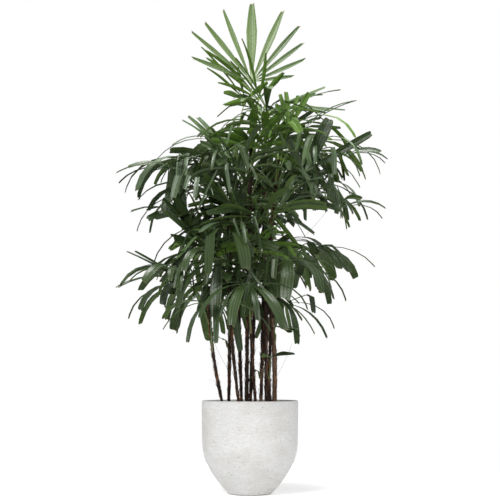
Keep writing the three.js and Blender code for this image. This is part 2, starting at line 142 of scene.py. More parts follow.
def turned(outline, steps):  # an outline of radii and heights, spun round the upright axis
    bm = bmesh.new()
    verts = [bm.verts.new((r * mm, 0, z * mm)) for r, z in outline]
    edges = [bm.edges.new(pair) for pair in zip(verts, verts[1:])]
    bmesh.ops.spin(bm, geom=verts + edges, axis=(0, 0, 1), cent=(0, 0, 0), angle=2 * math.pi,
                   steps=steps, use_merge=True)
    bmesh.ops.remove_doubles(bm, verts=bm.verts, dist=1e-6)
    return bm


def sideFaces(rows, sides):  # the faces between rings of points that follow one another
    faces = []
    for low in range(0, (rows - 1) * sides, sides):
        for i in range(sides):
            a, b = low + i, low + (i + 1) % sides
            faces.append((a, b, b + sides, a + sides))
    return faces


def tube(pile, centres, radii, sides, slot, beside):  # a closed round bar through centres
    centres, n = np.asarray(centres, float), len(centres)
    points = []
    for k in range(n):
        along = unit(centres[min(k + 1, n - 1)] - centres[max(k - 1, 0)])
        across = unit(beside - along * np.dot(beside, along))
        third = np.cross(along, across)
        for i in range(sides):
            turn = 2 * math.pi * i / sides
            points.append(centres[k] + across * radii[k] * math.cos(turn) + third * radii[k] * math.sin(turn))
    ends = [tuple(range(sides))[::-1], tuple(range((n - 1) * sides, n * sides))]
    around = [i / sides for i in range(sides)] * n
    along = [k / (n - 1) for k in range(n) for _ in range(sides)]
    addToPile(pile, points, sideFaces(n, sides) + ends, slot, around, along)


# shader building blocks

def newMaterial(name):
    material = bpy.data.materials.new(name)
    material.use_nodes = True
    tree = material.node_tree
    tree.nodes.clear()
    out = tree.nodes.new("ShaderNodeOutputMaterial")
    shader = tree.nodes.new("ShaderNodeBsdfPrincipled")
    tree.links.new(shader.outputs[0], out.inputs[0])
    return material, tree, shader


def feed(tree, target, value):  # a link where the value is a socket, otherwise the plain value
    if isinstance(value, bpy.types.NodeSocket):
        tree.links.new(value, target)
    else:
        target.default_value = value


def calc(tree, operation, a, b=0.0):
    node = tree.nodes.new("ShaderNodeMath")
    node.operation = operation
    feed(tree, node.inputs[0], a)
    feed(tree, node.inputs[1], b)
    return node.outputs[0]


def ramp(tree, value, low, high, fromLow=0.0, fromHigh=1.0):  # a clamped straight ramp
    node = tree.nodes.new("ShaderNodeMapRange")
    feed(tree, node.inputs[0], value)
    for socket, number in zip(list(node.inputs)[1:5], (fromLow, fromHigh, low, high)):
        socket.default_value = number
    return node.outputs[0]


def blend(tree, factor, a, b):
    node = tree.nodes.new("ShaderNodeMix")
    node.data_type = "RGBA"
    feed(tree, node.inputs[0], factor)
    feed(tree, node.inputs[6], a)
    feed(tree, node.inputs[7], b)
    return node.outputs[2]


def tinged(tree, colour, other, *slope):  # a colour with another over it, where the ramp of slope is high
    return blend(tree, ramp(tree, *slope), colour, other)


def objectPoint(tree, scale):
    coordinates = tree.nodes.new("ShaderNodeTexCoord")
    mapping = tree.nodes.new("ShaderNodeMapping")
    tree.links.new(coordinates.outputs["Object"], mapping.inputs[0])
    mapping.inputs[3].default_value = scale
    return mapping.outputs[0]


def apart(tree, vector):  # its three numbers
    split = tree.nodes.new("ShaderNodeSeparateXYZ")
    tree.links.new(vector, split.inputs[0])
    return split.outputs


def bladePoint(tree):  # how far across and along a leaflet or a stalk, from 0 to 1
    blade = tree.nodes.new("ShaderNodeUVMap")
    blade.uv_map = "blade"
    across, along, _ = apart(tree, blade.outputs[0])
    return across, along


def attribute(tree, name):
    node = tree.nodes.new("ShaderNodeAttribute")
    node.attribute_name = name
    return node.outputs["Fac"]


def grainOn(tree, vector, scale, detail, rough, distortion=0.0):
    node = tree.nodes.new("ShaderNodeTexNoise")
    tree.links.new(vector, node.inputs["Vector"])
    amounts = {"Scale": scale, "Detail": detail, "Roughness": rough, "Distortion": distortion}
    for name, value in amounts.items():
        node.inputs[name].default_value = value
    return node.outputs[0]


def grain(tree, stretch, *amounts):  # noise fixed to the piece, squeezed along each axis by stretch
    return grainOn(tree, objectPoint(tree, stretch), *amounts)


def relief(tree, shader, height, strength, distance, below=None):
    node = tree.nodes.new("ShaderNodeBump")
    node.inputs["Strength"].default_value = strength
    node.inputs["Distance"].default_value = distance
    tree.links.new(height, node.inputs["Height"])
    if below is not None:
        tree.links.new(below, node.inputs["Normal"])
    tree.links.new(node.outputs[0], shader.inputs["Normal"])
    return node.outputs[0]


def coat(tree, shader, colour, roughness, shine=0.5):
    feed(tree, shader.inputs["Base Color"], colour)
    feed(tree, shader.inputs["Roughness"], roughness)
    shader.inputs["Specular IOR Level"].default_value = shine


print("frame loaded")

# the pot: a bowl under a nearly upright wall, cast and brushed

pot = {
    "height": 328,
    "rimRadius": 173,
    "shoulderRadius": 171,
    "shoulderHeight": 184,
    "footRadius": 75,
    "wall": 13,
    "floor": 18,
    "soilLevel": 294,
    "turns": 128,
    "footRound": ((60, 0), (70, 0.2), (75, 1.4), (78.6, 3.6), (81, 6)),
    "rimRound": ((1.2, 2), (4, 0)),  # in from the wall's face and down from the top
    "bowlRings": (10, 16, 24, 34, 46, 60, 76, 94, 112, 130, 148, 166, 184),
    "wallRings": (208, 232, 256, 280, 304, 323),
    "innerRings": (322, 300, 270, 240, 210, 184, 150, 120, 90, 60, 36, 22),
    "bowlInset": 0.3,
    "wallInset": 0.2,
    "cornerInset": 6,  # where the floor meets the wall
    "uneven": ((9, 0.6), (30, 0.3)),  # how many swells to the metre, and how high
    "unevenLess": 0.3,  # keeps the wall within its size
    "evenWithin": 30,
    "pitScale": 115,
    "pitSize": 0.31,
    "pitDepth": 0.0009,  # in metres, as the shader takes it
    "grainDepth": 0.0022,
    "colour": tone(207, 207, 207),
    "warmColour": tone(189, 187, 183),
    "paleColour": tone(222, 222, 222),
    "pitColour": tone(108, 104, 100),
    "grainColour": tone(172, 171, 168),
    # footColour is a painted contact shadow along the lowest few millimetres of the foot
    "footColour": tone(120, 116, 110),
}


def bowlRadius(z):
    above = (z - pot["shoulderHeight"]) / (pot["height"] - pot["shoulderHeight"])
    below = (pot["shoulderHeight"] - z) / pot["shoulderHeight"]
    wall = mix(pot["shoulderRadius"], pot["rimRadius"], max(0, above))
    return mix(pot["footRadius"], wall, 1 - max(0, below) ** 2)


def potMaterial():
    material, tree, shader = newMaterial("castStone")
    wide = grain(tree, (1, 1, 1.6), 9, 3, 0.55)
    cloud = grain(tree, (1, 1, 2.5), 38, 4, 0.65)
    brushed = grain(tree, (1, 1, 8), 30, 5, 0.8, 0.5)  # level brush marks
    fine = grain(tree, (1, 1, 9), 110, 3, 0.8)
    patches = ramp(tree, cloud, 0.35, 1, 0.35, 0.65)
    crisp = calc(tree, "MULTIPLY", ramp(tree, brushed, 0, 1, 0.36, 0.66), patches)
    colour = tinged(tree, pot["colour"], pot["warmColour"], wide, 0, 0.8, 0.45, 0.68)
    colour = tinged(tree, colour, pot["warmColour"], crisp, 0.5, 0.0, 0.1, 0.45)
    colour = tinged(tree, colour, pot["paleColour"], crisp, 0.0, 0.7, 0.5, 0.95)
    colour = tinged(tree, colour, pot["grainColour"], fine, 0.7, 0.0, 0.36, 0.54)
    pits = tree.nodes.new("ShaderNodeTexVoronoi")
    tree.links.new(objectPoint(tree, (1, 1, 1.5)), pits.inputs["Vector"])
    pits.inputs["Scale"].default_value = pot["pitScale"]
    pits.inputs["Randomness"].default_value = 1.0
    size = grain(tree, even, 70, 2, 0.6)
    hole = calc(tree, "LESS_THAN", pits.outputs["Distance"], ramp(tree, size, 0.0, pot["pitSize"], 0.5, 0.71))
    colour = blend(tree, calc(tree, "MULTIPLY", hole, 0.75), colour, pot["pitColour"])
    # painted contact shadow: darker over the lowest few millimetres, where the foot meets the floor
    height = apart(tree, objectPoint(tree, even))[2]
    colour = tinged(tree, colour, pot["footColour"], height, 0.75, 0, 0.001, 0.0055)
    coat(tree, shader, colour, ramp(tree, cloud, 0.8, 0.95), 0.3)
    rough = calc(tree, "ADD", crisp, calc(tree, "MULTIPLY", fine, 0.45))
    first = relief(tree, shader, rough, 0.55, pot["grainDepth"])
    relief(tree, shader, calc(tree, "SUBTRACT", 1.0, hole), 0.6, pot["pitDepth"], first)
    return material


def potOutline():
    top, rim, wall = pot["height"], pot["rimRadius"], pot["wall"]
    outline = [(0, 0), *pot["footRound"]]
    outline += [(bowlRadius(z) - pot["bowlInset"], z) for z in pot["bowlRings"]]
    outline += [(bowlRadius(z) - pot["wallInset"], z) for z in pot["wallRings"]]
    outline += [(rim - inward, top - down) for inward, down in pot["rimRound"]]
    outline += [(rim - wall + inward, top - down) for inward, down in reversed(pot["rimRound"])]
    outline += [(bowlRadius(z) - wall, z) for z in pot["innerRings"]]
    return outline + [(outline[-1][0] - pot["cornerInset"], pot["floor"]), (0, pot["floor"])]


def makePot():
    bm = turned(potOutline(), pot["turns"])
    for v in bm.verts:  # the cast wall isn't quite even
        r = math.hypot(v.co.x, v.co.y)
        if r > pot["evenWithin"] * mm:
            sway = unevenness(v.co, pot["uneven"]) - pot["unevenLess"]
            v.co.x *= 1 + sway * mm / r
            v.co.y *= 1 + sway * mm / r
    place(pieceFromBmesh("planter", bm, [potMaterial()], sharp=50), ["pot"])


makePot()
print("pot made")

# the soil: a disc with a rough top, and chips of bark on it

soil = {
    "radius": 157,
    "depth": 44,
    "rings": 22,
    "turns": 72,
    "edgeRound": (2, 3),
    "topInset": 1.5,
    "rough": 3.2,
    "lumps": ((45, 1), (120, 0.6)),
    "lumpsLess": 0.2,
    "chips": 620,
    "chipLength": (5, 15),
    "chipWidth": (3, 7),
    "chipThick": (1.2, 3),
    "chipSink": (-0.5, 1.5),
    "chipEdge": 9,  # clear of the pot
    "colours": (tone(38, 27, 20), tone(62, 44, 31), tone(84, 62, 45), tone(30, 24, 20)),
    "chipShades": (("barkChipDark", 0, 1), ("barkChipBrown", 1, 2), ("barkChipGrey", 3, 2)),
}


def earthMaterial(name, dark, light, scale):
    material, tree, shader = newMaterial(name)
    lumps = grain(tree, even, scale, 6, 0.7)
    crumbs = grain(tree, even, scale * 5, 3, 0.6)
    colour = tinged(tree, soil["colours"][dark], soil["colours"][light], lumps, 0, 1, 0.35, 0.7)
    coat(tree, shader, colour, ramp(tree, crumbs, 0.85, 1.0), 0.25)
    first = relief(tree, shader, lumps, 0.7, 0.004)
    relief(tree, shader, crumbs, 0.6, 0.0015, first)
    return material


def makeSoil():
    top, radius, rings = pot["soilLevel"], soil["radius"], soil["rings"]
    bottom = top - soil["depth"]
    inward, down = soil["edgeRound"]
    outline = [(0, bottom), (radius - inward, bottom), (radius, top - down)]
    outline += [(radius * (1 - k / rings), top - soil["topInset"]) for k in range(1, rings + 1)]
    bm = turned(outline, soil["turns"])
    for v in bm.verts:
        if v.co.z > (top - inward) * mm:
            v.co.z += soil["rough"] * mm * (unevenness(v.co, soil["lumps"]) - soil["lumpsLess"])
    material = earthMaterial("barkSoil", 0, 1, scale=60)
    place(pieceFromBmesh("pottingSoil", bm, [material], sharp=60), ["soil"])


def makeChips():
    rng = random.Random(11)
    pile = newPile()
    faces = [(0, 3, 2, 1), (4, 5, 6, 7), (0, 1, 5, 4), (1, 2, 6, 5), (2, 3, 7, 6), (3, 0, 4, 7)]
    for _ in range(soil["chips"]):
        r, turn = (soil["radius"] - soil["chipEdge"]) * math.sqrt(rng.random()), rng.uniform(0, 360)
        length, width, thick = (rng.uniform(*soil["chip" + size]) for size in ("Length", "Width", "Thick"))
        ahead = unit(level(rng.uniform(0, 360)) + up * rng.uniform(-0.3, 0.3))
        side = unit(np.cross(up, ahead))
        lift = np.cross(ahead, side)
        centre = r * level(turn) + up * (pot["soilLevel"] + rng.uniform(*soil["chipSink"]))
        points = []
        for z in (-1, 1):
            for x, y in ((-1, -1), (1, -1), (1, 1), (-1, 1)):
                corner = centre + ahead * x * length / 2 * rng.uniform(0.6, 1)
                corner = corner + side * y * width / 2 * rng.uniform(0.5, 1)
                points.append(corner + lift * z * thick / 2 * rng.uniform(0.6, 1))
        addToPile(pile, points, faces, rng.choice([0, 0, 1, 2]))
    materials = [earthMaterial(*shade, scale=90) for shade in soil["chipShades"]]
    place(pieceFromPile("barkChips", pile, materials, sharp=30))


makeSoil()
makeChips()
print("soil made")

# the canes: the same feet, tips and dice as the solids have
# leafy is the length that bears fronds, and each frond has one of dice and looks, from the lowest. The last
# three are the visible cane's own: its foot's thickness, its lack of husks, how far foot and middle sway

clump = {
    "left_outer": {
        "foot": (-96, -18), "tip": (-151, -67, 733), "leafy": 198, "bearing": 304, "size": 0.9,
        "dice": (188, 826, 753, 953, 218), "looks": (141, 13, 69, 159, 16), "inner": 136,
        "girth": 0.55, "bare": 0.1, "sway": (2, -16)},
    "left_back": {
        "foot": (-73, 34), "tip": (-83, 64, 843), "leafy": 223, "bearing": 150, "size": 1.02,
        "dice": (910, 259, 463, 628, 100), "looks": (178, 148, 179, 173, 155), "inner": 136,
        "girth": 0.55, "bare": 0.15, "sway": (-4, 3)},
    "left_front": {
        "foot": (-46, -35), "tip": (-73, -46, 1055), "leafy": 308, "bearing": 148, "size": 0.87,
        "dice": (293, 712, 22, 142, 296, 822), "looks": (97, 91, 82, 35, 135, 42), "inner": 75,
        "girth": 0.58, "bare": 0.45, "sway": (9, -18)},
    "left_inner": {
        "foot": (-32, 15), "tip": (-34, 130, 1131), "leafy": 197, "bearing": 108, "size": 0.96,
        "dice": (541, 358, 985, 639, 191, 504), "looks": (183, 79, 157, 88, 58, 10), "inner": 153,
        "girth": 0.6, "bare": 0.3, "sway": (3, -9)},
    "leader": {
        "foot": (-12, -10), "tip": (6, 0, 1290), "leafy": 331, "bearing": 322, "size": 1,
        "dice": (918, 900, 560, 939, 621, 180, 638, 701), "looks": (59, 130, 165, 32, 160, 12, 171, 7),
        "inner": 152, "girth": 0.68, "bare": 0.1, "sway": (0, -2)},
    "back": {
        "foot": (2, 45), "tip": (35, 108, 1073), "leafy": 260, "bearing": 39, "size": 0.98,
        "dice": (127, 679, 301, 49, 286, 887), "looks": (74, 151, 88, 12, 173, 2), "inner": 123,
        "girth": 0.65, "bare": 0.15, "sway": (-2, 2)},
    "front": {
        "foot": (20, -52), "tip": (-10, -106, 836), "leafy": 236, "bearing": 266, "size": 0.94,
        "dice": (739, 954, 879, 150, 938), "looks": (197, 32, 127, 52, 109), "inner": 58,
        "girth": 0.42, "bare": 0.1, "sway": (0, -4)},
    "right_inner": {
        "foot": (38, 10), "tip": (49, 22, 1231), "leafy": 207, "bearing": 56, "size": 1.07,
        "dice": (661, 397, 568, 283, 760, 495, 749), "looks": (136, 87, 83, 22, 96, 52, 60), "inner": 152,
        "girth": 0.7, "bare": 0.5, "sway": (0, 8)},
    "right_front": {
        "foot": (57, -30), "tip": (103, -55, 1193), "leafy": 187, "bearing": 52, "size": 0.89,
        "dice": (307, 828, 963, 798, 794, 195, 309), "looks": (18, 34, 114, 70, 146, 27, 3), "inner": 158,
        "girth": 0.56, "bare": 0.15, "sway": (1, -12)},
    "right_back": {
        "foot": (68, 40), "tip": (112, 118, 891), "leafy": 280, "bearing": 92, "size": 0.94,
        "dice": (561, 26, 783, 309, 777), "looks": (32, 192, 160, 154, 115), "inner": 38,
        "girth": 0.54, "bare": 0.45, "sway": (-1, -7)},
    "right_outer": {
        "foot": (88, -5), "tip": (28, -34, 893), "leafy": 175, "bearing": 295, "size": 0.87,
        "dice": (56, 414, 438, 318, 669), "looks": (173, 110, 106, 180, 19), "inner": 109,
        "girth": 1.03, "bare": 1.0, "sway": (-2, 18)},
    "sprout": {
        "foot": (74, -50), "tip": (66, -64, 404), "leafy": 0, "bearing": 350, "size": 0.4,
        "dice": (482,), "looks": (482,), "girth": 0.6, "bare": 0.2, "sway": (0, 0)},
}
for stemName, stem in clump.items():
    stem["name"] = stemName

canes = {
    "footRadius": 9.5,
    "tipRadius": 6,
    "lean": 0.35,
    "seat": 0.3,  # above the soil
    "sides": 16,
    "step": 6.5,
    "slimness": 0.9,  # thinner than the solids
    "slimHeight": 520,  # up to here the foot's own girth fades
    "girthFades": 0.6,
    "flare": 0.2,
    "flareHeight": 30,
    "ownSway": 5,
    "jointGap": 27,  # between the scars of old leaves
    "jointSwell": 0.06,
    "jointLength": 0.09,
    "rough": 0.95,
    "lumps": ((1.7, 1), (4.1, 0.6)),
    "lumpShape": (0.5, 0.045),  # how fast the lumps change round and up the cane
    "bareHeight": (120, 540),  # how high the skin shows, on a covered cane and on a bare one
    "bareShare": (0.35, 1.25),
    "dark": tone(29, 22, 19),
    "brown": tone(56, 43, 36),
    "rust": tone(84, 59, 45),
    "tan": tone(122, 98, 76),
}


def caneLength(cane):
    return cane["tip"][2] - pot["soilLevel"]


def caneAt(cane, t):  # nearly upright at the soil, leaning out higher up
    out = mix(t, t * t, canes["lean"])
    (footX, footY), (tipX, tipY, tipZ) = cane["foot"], cane["tip"]
    height = mix(pot["soilLevel"] + canes["seat"], tipZ, t)
    return np.array([mix(footX, tipX, out), mix(footY, tipY, out), height])


def caneDirection(cane, t):
    return unit(caneAt(cane, min(1, t + 0.02)) - caneAt(cane, max(0, t - 0.02)))


def solidRadius(t):
    return mix(canes["footRadius"], canes["tipRadius"], t)


def fineCaneAt(cane, t):  # the visible cane sways off the solid's line, most of all half way up
    foot, bow = cane["sway"]
    arch = math.sin(math.pi * t)
    own = canes["ownSway"] * math.sin(cane["dice"][0])
    return caneAt(cane, t) + np.array([foot * (1 - t) ** 2 + bow * arch, own * arch, 0])


def caneRadius(cane, t):
    height = t * caneLength(cane)
    flare = 1 + canes["flare"] * max(0, 1 - height / canes["flareHeight"]) ** 2
    girth = mix(cane["girth"], 1, canes["girthFades"] * min(1, height / canes["slimHeight"]))
    return canes["slimness"] * solidRadius(t) * girth * flare


def caneMaterial():
    material, tree, shader = newMaterial("fibrousCane")
    fibre = grain(tree, (1, 1, 0.06), 420, 4, 0.6)
    blotch = grain(tree, (1, 1, 0.45), 60, 4, 0.65)
    skin = tinged(tree, canes["rust"], canes["tan"], fibre, 0, 1, 0.35, 0.65)
    husk = tinged(tree, canes["dark"], canes["brown"], fibre, 0, 1, 0.4, 0.75)
    husk = tinged(tree, husk, canes["rust"], blotch, 0, 0.25, 0.6, 0.78)
    patch = calc(tree, "MULTIPLY", calc(tree, "SUBTRACT", blotch, 0.5), 1.6)
    bare = calc(tree, "ADD", attribute(tree, "bare"), patch)
    coat(tree, shader, tinged(tree, husk, skin, bare, 0, 1, 0.42, 0.62), ramp(tree, fibre, 0.6, 0.9), 0.3)
    first = relief(tree, shader, fibre, 0.8, 0.0012)
    relief(tree, shader, blotch, 0.5, 0.0015, first)
    return material


def edgesAmong(ring):
    inside = set(ring)
    return list({e for v in ring for e in v.link_edges if e.other_vert(v) in inside})


def extrudeRing(bm, ring):  # the new ring has the order of the old one
    grown = bmesh.ops.extrude_edge_only(bm, edges=edgesAmong(ring))["geom"]
    above = {}
    for v in [g for g in grown if isinstance(g, bmesh.types.BMVert)]:
        below = [e.other_vert(v) for e in v.link_edges if e.other_vert(v) in ring][0]
        above[below] = v
    return [above[v] for v in ring]


def shapeRing(cane, ring, turns, t, joint, bare):
    height, centre = t * caneLength(cane), fineCaneAt(cane, t)
    swell = math.exp(-(((height / canes["jointGap"] + joint) % 1 - 0.5) / canes["jointLength"]) ** 2)
    shown = max(0, 1 - height / mix(*canes["bareHeight"], cane["bare"]))
    around, upward = canes["lumpShape"]
    for v, turn in zip(ring, turns):
        x, y = math.cos(turn), math.sin(turn)
        spot = Vector((x * around + cane["foot"][0], y * around + cane["foot"][1], height * upward))
        r = caneRadius(cane, t) * (1 + canes["jointSwell"] * swell)
        r += canes["rough"] * unevenness(spot, canes["lumps"])
        v.co = Vector((centre[0] + r * x, centre[1] + r * y, centre[2])) * mm
        v[bare] = min(1, cane["bare"] * mix(*canes["bareShare"], shown))


def makeCanes():
    bm = bmesh.new()
    bare = bm.verts.layers.float.new("bare")
    for cane in clump.values():
        rings = int(caneLength(cane) / canes["step"])
        ring = bmesh.ops.create_circle(bm, segments=canes["sides"], radius=1, cap_ends=True)["verts"]
        turns = [math.atan2(v.co.y, v.co.x) for v in ring]
        joint = chance(makeDice(cane["dice"][0] + 7))
        for k in range(rings + 1):
            if k:
                ring = extrudeRing(bm, ring)
            shapeRing(cane, ring, turns, k / rings, joint, bare)
        bmesh.ops.contextual_create(bm, geom=edgesAmong(ring))
    piece = pieceFromBmesh("canes", bm, [caneMaterial()], sharp=60)
    place(piece, ["cane_" + name for name in clump])


makeCanes()
print("canes made")

# the fronds: one fan of leaflets on a slender stalk each, by the same rule as the solids
# low is at a cane's lowest frond and high at its highest. Angles are in degrees

frondSizes = {
    "turn": 137.5,  # between one frond and the next up the cane
    "belowTip": 14,
    "standOff": 3.8,
    "topSeat": 0.9,
    "elbow": (0.5, 0.12),  # shares of the stalk, along the cane and outwards
    "lowStalk": 261,
    "highStalk": 180,
    "lowRise": 32,
    "highRise": 76,
    "spread": 0.62,
    "spreadReach": 90,  # canes that lean out less than this spread less
    "hubRadius": 14,
    "hubCrown": 2.5,
    "lowPitch": -20,
    "highPitch": 50,
    "fan": 109,
    "lift": 15,
    "lowDroop": 101,
    "highDroop": 34,
    "lowLeaflets": 6.6,
    "highLeaflets": 8,
    "small": 0.9,  # fronds smaller than this have fewer leaflets
    "fewer": 2.5,
    "match": 0.05,  # how near a spot has to be to one of the solid's corners
    "youngAbove": 1000,
    "loose": {"turn": 12, "stalk": 0.12, "climb": 6, "pitch": 8, "droop": 8, "leaflets": 0.8,
              "length": 0.07, "width": 0.12, "fan": 0.05, "skew": 10},  # the most that dice change each
}

leafletSizes = {
    "length": 270,
    "width": 39,
    "sideLength": 0.26,  # how much shorter and narrower the leaflets at a fan's sides are
    "sideWidth": 0.3,
    "sideRoll": 10,
    "hubHalf": 2.4,  # half its width inside the hub
    "hubDepth": 0.25,
    "hubRise": 0.8,
    "rootDepth": 0.35,  # the share of its folds' height at the root
    "rootWidth": 0.2,
    "widest": 0.64,
    "tipWidth": 0.76,
    "keel": 3.4,
    "steps": 24,
    "stations": (0, 3, 7, 11, 15, 19, 22.4, 24),
    "thick": 0.5,
    "pleat": 1.0,  # half the height of its folds
    "gutter": 1.8,  # how deep it sags between its edges
    "teeth": 8,
    "notches": (1.5, 0, 2, 0, 1.5),
    "slant": 5,  # how far the blunt end is cut askew
    "twist": 18,
    "sweep": 5,
    "cant": 12,  # how far the leaflets of a fan are turned about their own length
    "topCant": 0.2,
    "foldLength": 0.22,
    "foldStraight": 0.12,  # the share of the bend that a folded leaflet takes along its whole length
    "edgeHang": 0.3,  # how much a leaflet on edge hangs
    "hangClear": 8,  # degrees short of straight down
    "loose": {"angle": 0.16, "length": 0.05, "width": 0.1, "lift": 4, "droop": 0.12, "roll": 8},
}

finer = {  # where the visible leaflets differ from the solids'
    "farReach": 425,  # leaflets that reach further out stay as the solids have them
    "wideness": (0.47, 1.26),
    "topWideness": 1.1,
    "slimmer": (1.02, 0.72),  # the leaflets of low fronds and of high ones
    "slimAbove": 1050,
    "slimOver": 300,
    "between": 0.62,  # share of the gaps that hold a narrower leaflet
    "betweenBelow": 1280,
    "betweenWidth": (0.35, 0.6),
    "betweenLength": (0.7, 0.92),
    "betweenLoose": {"lift": 5, "droop": 0.2, "roll": 20},
    "widestGap": 45,
    "folded": 0.4,  # share of the leaflets that bend over in one place
    "foldPlace": (0.2, 0.62),
    "arch": (0.8, 1.9),
    "loose": {"length": 0.06, "angle": 5, "droop": 0.16},
    "lengthLess": 0.02,
    "crestTaper": 0.55,
    "taper": 0.9,
}

inner = {  # short fronds close round the canes
    "lowest": 650,
    "belowTip": 40,
    "gap": 135,
    "stalk": (60, 130),
    "climb": (35, 70),
    "pitch": (-10, 40),
    "droop": (40, 90),
    "length": (130, 215),
    "width": (20, 30),
    "fan": 95,
    "bearing": (270, 150),  # mostly towards the front, by as much as this to each side
    "skew": 15,
    "leaflets": 6,
    "uneven": 0.3,
    "bright": 520,  # for every third one: painted backlight, a brighter yellow-green where light would shine through
}

# fronds of the scene's own: small stray ones low down, and young ones in the upper crown and at its edges
# facing is the way that a blade points, and own lists the leaflets: angle, length and how much wider each is

strays = (
    {"cane": "left_back", "seed": 170, "height": 540, "bearing": 185, "stalk": 12, "climb": 40,
     "pitch": 22, "droop": 25, "fan": 20, "leaflets": 2, "length": 84, "width": 18, "roll": 30},
    {"cane": "right_inner", "seed": 428, "height": 428, "bearing": 215, "stalk": 12, "climb": 30,
     "pitch": -62, "droop": 30, "fan": 9, "leaflets": 2, "length": 48, "width": 30, "roll": 10},
    {"cane": "right_outer", "seed": 137, "height": 560, "bearing": 310, "stalk": 45, "climb": 45,
     "pitch": -20, "droop": 40, "fan": 60, "leaflets": 4, "length": 95, "width": 17, "roll": 20},
)

shoots = (
    {"cane": "right_front", "seed": 20, "height": 1132, "bearing": 288, "stalk": 196, "climb": 52,
     "facing": 90, "pitch": 80, "droop": 50, "fan": 50, "width": 18, "bright": 250,
     "own": ((-34, 84, 1.1), (-16, 112, 0.9), (-4, 116, 0.9), (14, 106, 0.8), (31, 128, 1.6))},
    {"cane": "right_front", "seed": 126, "height": 1132, "bearing": 288, "stalk": 196, "climb": 52,
     "facing": 352, "pitch": 12, "droop": 112, "fan": 180, "width": 34, "bright": 250,
     "own": ((26, 290, 0.75), (-26, 265, 0.7), (82, 160, 1), (136, 112, 1.1))},
    {"cane": "right_front", "seed": 74, "height": 1000, "bearing": 313, "stalk": 190, "climb": 43,
     "facing": 80, "pitch": 74, "droop": 12, "fan": 60, "width": 42, "bright": -250,
     "own": ((-28, 120, 0.8), (27, 196, 1.2), (64, 258, 0.9))},
    {"cane": "right_front", "seed": 141, "height": 930, "bearing": 350, "stalk": 240, "climb": 20,
     "pitch": 8, "droop": 82, "fan": 90, "width": 22, "roll": 24, "bright": -300,
     "own": ((-12, 166, 0.7), (14, 168, 1.1), (74, 185, 1.3), (120, 110, 1))},
    {"cane": "right_front", "seed": 142, "height": 1110, "bearing": 352, "stalk": 258, "climb": 22,
     "pitch": 0, "droop": 76, "fan": 90, "width": 22, "roll": 24, "bright": -300,
     "own": ((-10, 146, 0.6), (12, 150, 1.1), (40, 136, 1), (78, 120, 0.9))},
    {"cane": "left_outer", "seed": 143, "height": 690, "bearing": 201, "stalk": 94, "climb": 35,
     "facing": 190, "pitch": 18, "droop": 14, "fan": 60, "width": 26, "roll": -32,
     "own": ((10, 232, 1), (-14, 205, 1.2))},
    {"cane": "left_front", "seed": 144, "height": 1000, "bearing": 190, "stalk": 244, "climb": 40,
     "facing": 184, "pitch": -2, "droop": 66, "fan": 90, "width": 20, "roll": -22, "bright": -300,
     "own": ((26, 190, 0.7), (4, 217, 0.8), (-18, 214, 1), (-44, 194, 1.2))},
    {"cane": "left_outer", "seed": 145, "height": 690, "bearing": 190, "stalk": 104, "climb": 42,
     "facing": 181, "pitch": -4, "droop": 54, "fan": 90, "width": 20, "roll": -20,
     "own": ((4, 255, 0.6), (-16, 236, 0.8))},
    {"cane": "left_inner", "seed": 132, "height": 1010, "bearing": 236, "stalk": 180, "climb": 74,
     "pitch": 62, "droop": 80, "fan": 80, "leaflets": 7, "length": 170, "width": 30, "bright": 110},
    {"cane": "back", "seed": 133, "height": 990, "bearing": 120, "stalk": 200, "climb": 72,
     "pitch": 62, "droop": 80, "fan": 80, "leaflets": 7, "length": 180, "width": 30, "bright": 110},
)

ownLooks = {  # fronds that differ from the rule
    "leader_8": {"shade": "crest"},
    "leader_7": {"shade": "clear", "slim": 0.8},
    "leader_3": {"shade": "old", "slim": 0.72},
    "right_front_2": {"slim": 0.75},
    "right_front_3": {"shade": "grown", "slim": 0.8},
    "right_front_5": {"slim": 0.6},
    "left_front_5": {"slim": 0.72},
    "front_4": {"shade": "old", "slim": 0.75},
    "front_5": {"shade": "old", "slim": 0.8},
}

crests = {  # the highest fronds of some canes
    "leader": {
        "bearing": 90, "stalk": 208, "climb": 90, "pitch": 80, "droop": 5, "fan": 76, "skew": 15, "width": 27,
        "own": ((-73, 228, 0.8), (-54, 276, 0.8), (-39, 269, 0.8), (-23, 278, 0.8), (0, 280, 1.4),
                (25, 276, 1), (42, 258, 0.72), (56, 225, 0.68), (72, 202, 0.75), (87, 146, 0.8))},
    "right_inner": {
        "bearing": 207, "stalk": 206, "climb": 77, "pitch": 45, "droop": 27, "fan": 93, "skew": 13,
        "leaflets": 9, "width": 27},
    "left_inner": {
        "bearing": 168, "stalk": 336, "climb": 85, "pitch": 39, "droop": 17, "fan": 90, "skew": 6,
        "leaflets": 7, "width": 31},
    "sprout": {
        "bearing": 350, "stalk": 78, "climb": 78, "pitch": 5, "droop": 40, "fan": 95, "skew": 20,
        "leaflets": 4, "length": 94, "width": 22, "roll": 38},
}

solidForm = ("arched", 1.3)  # how the solids' leaflets bend
asPlanned = (0, 0, 1)  # no more droop, no other angle, the whole length


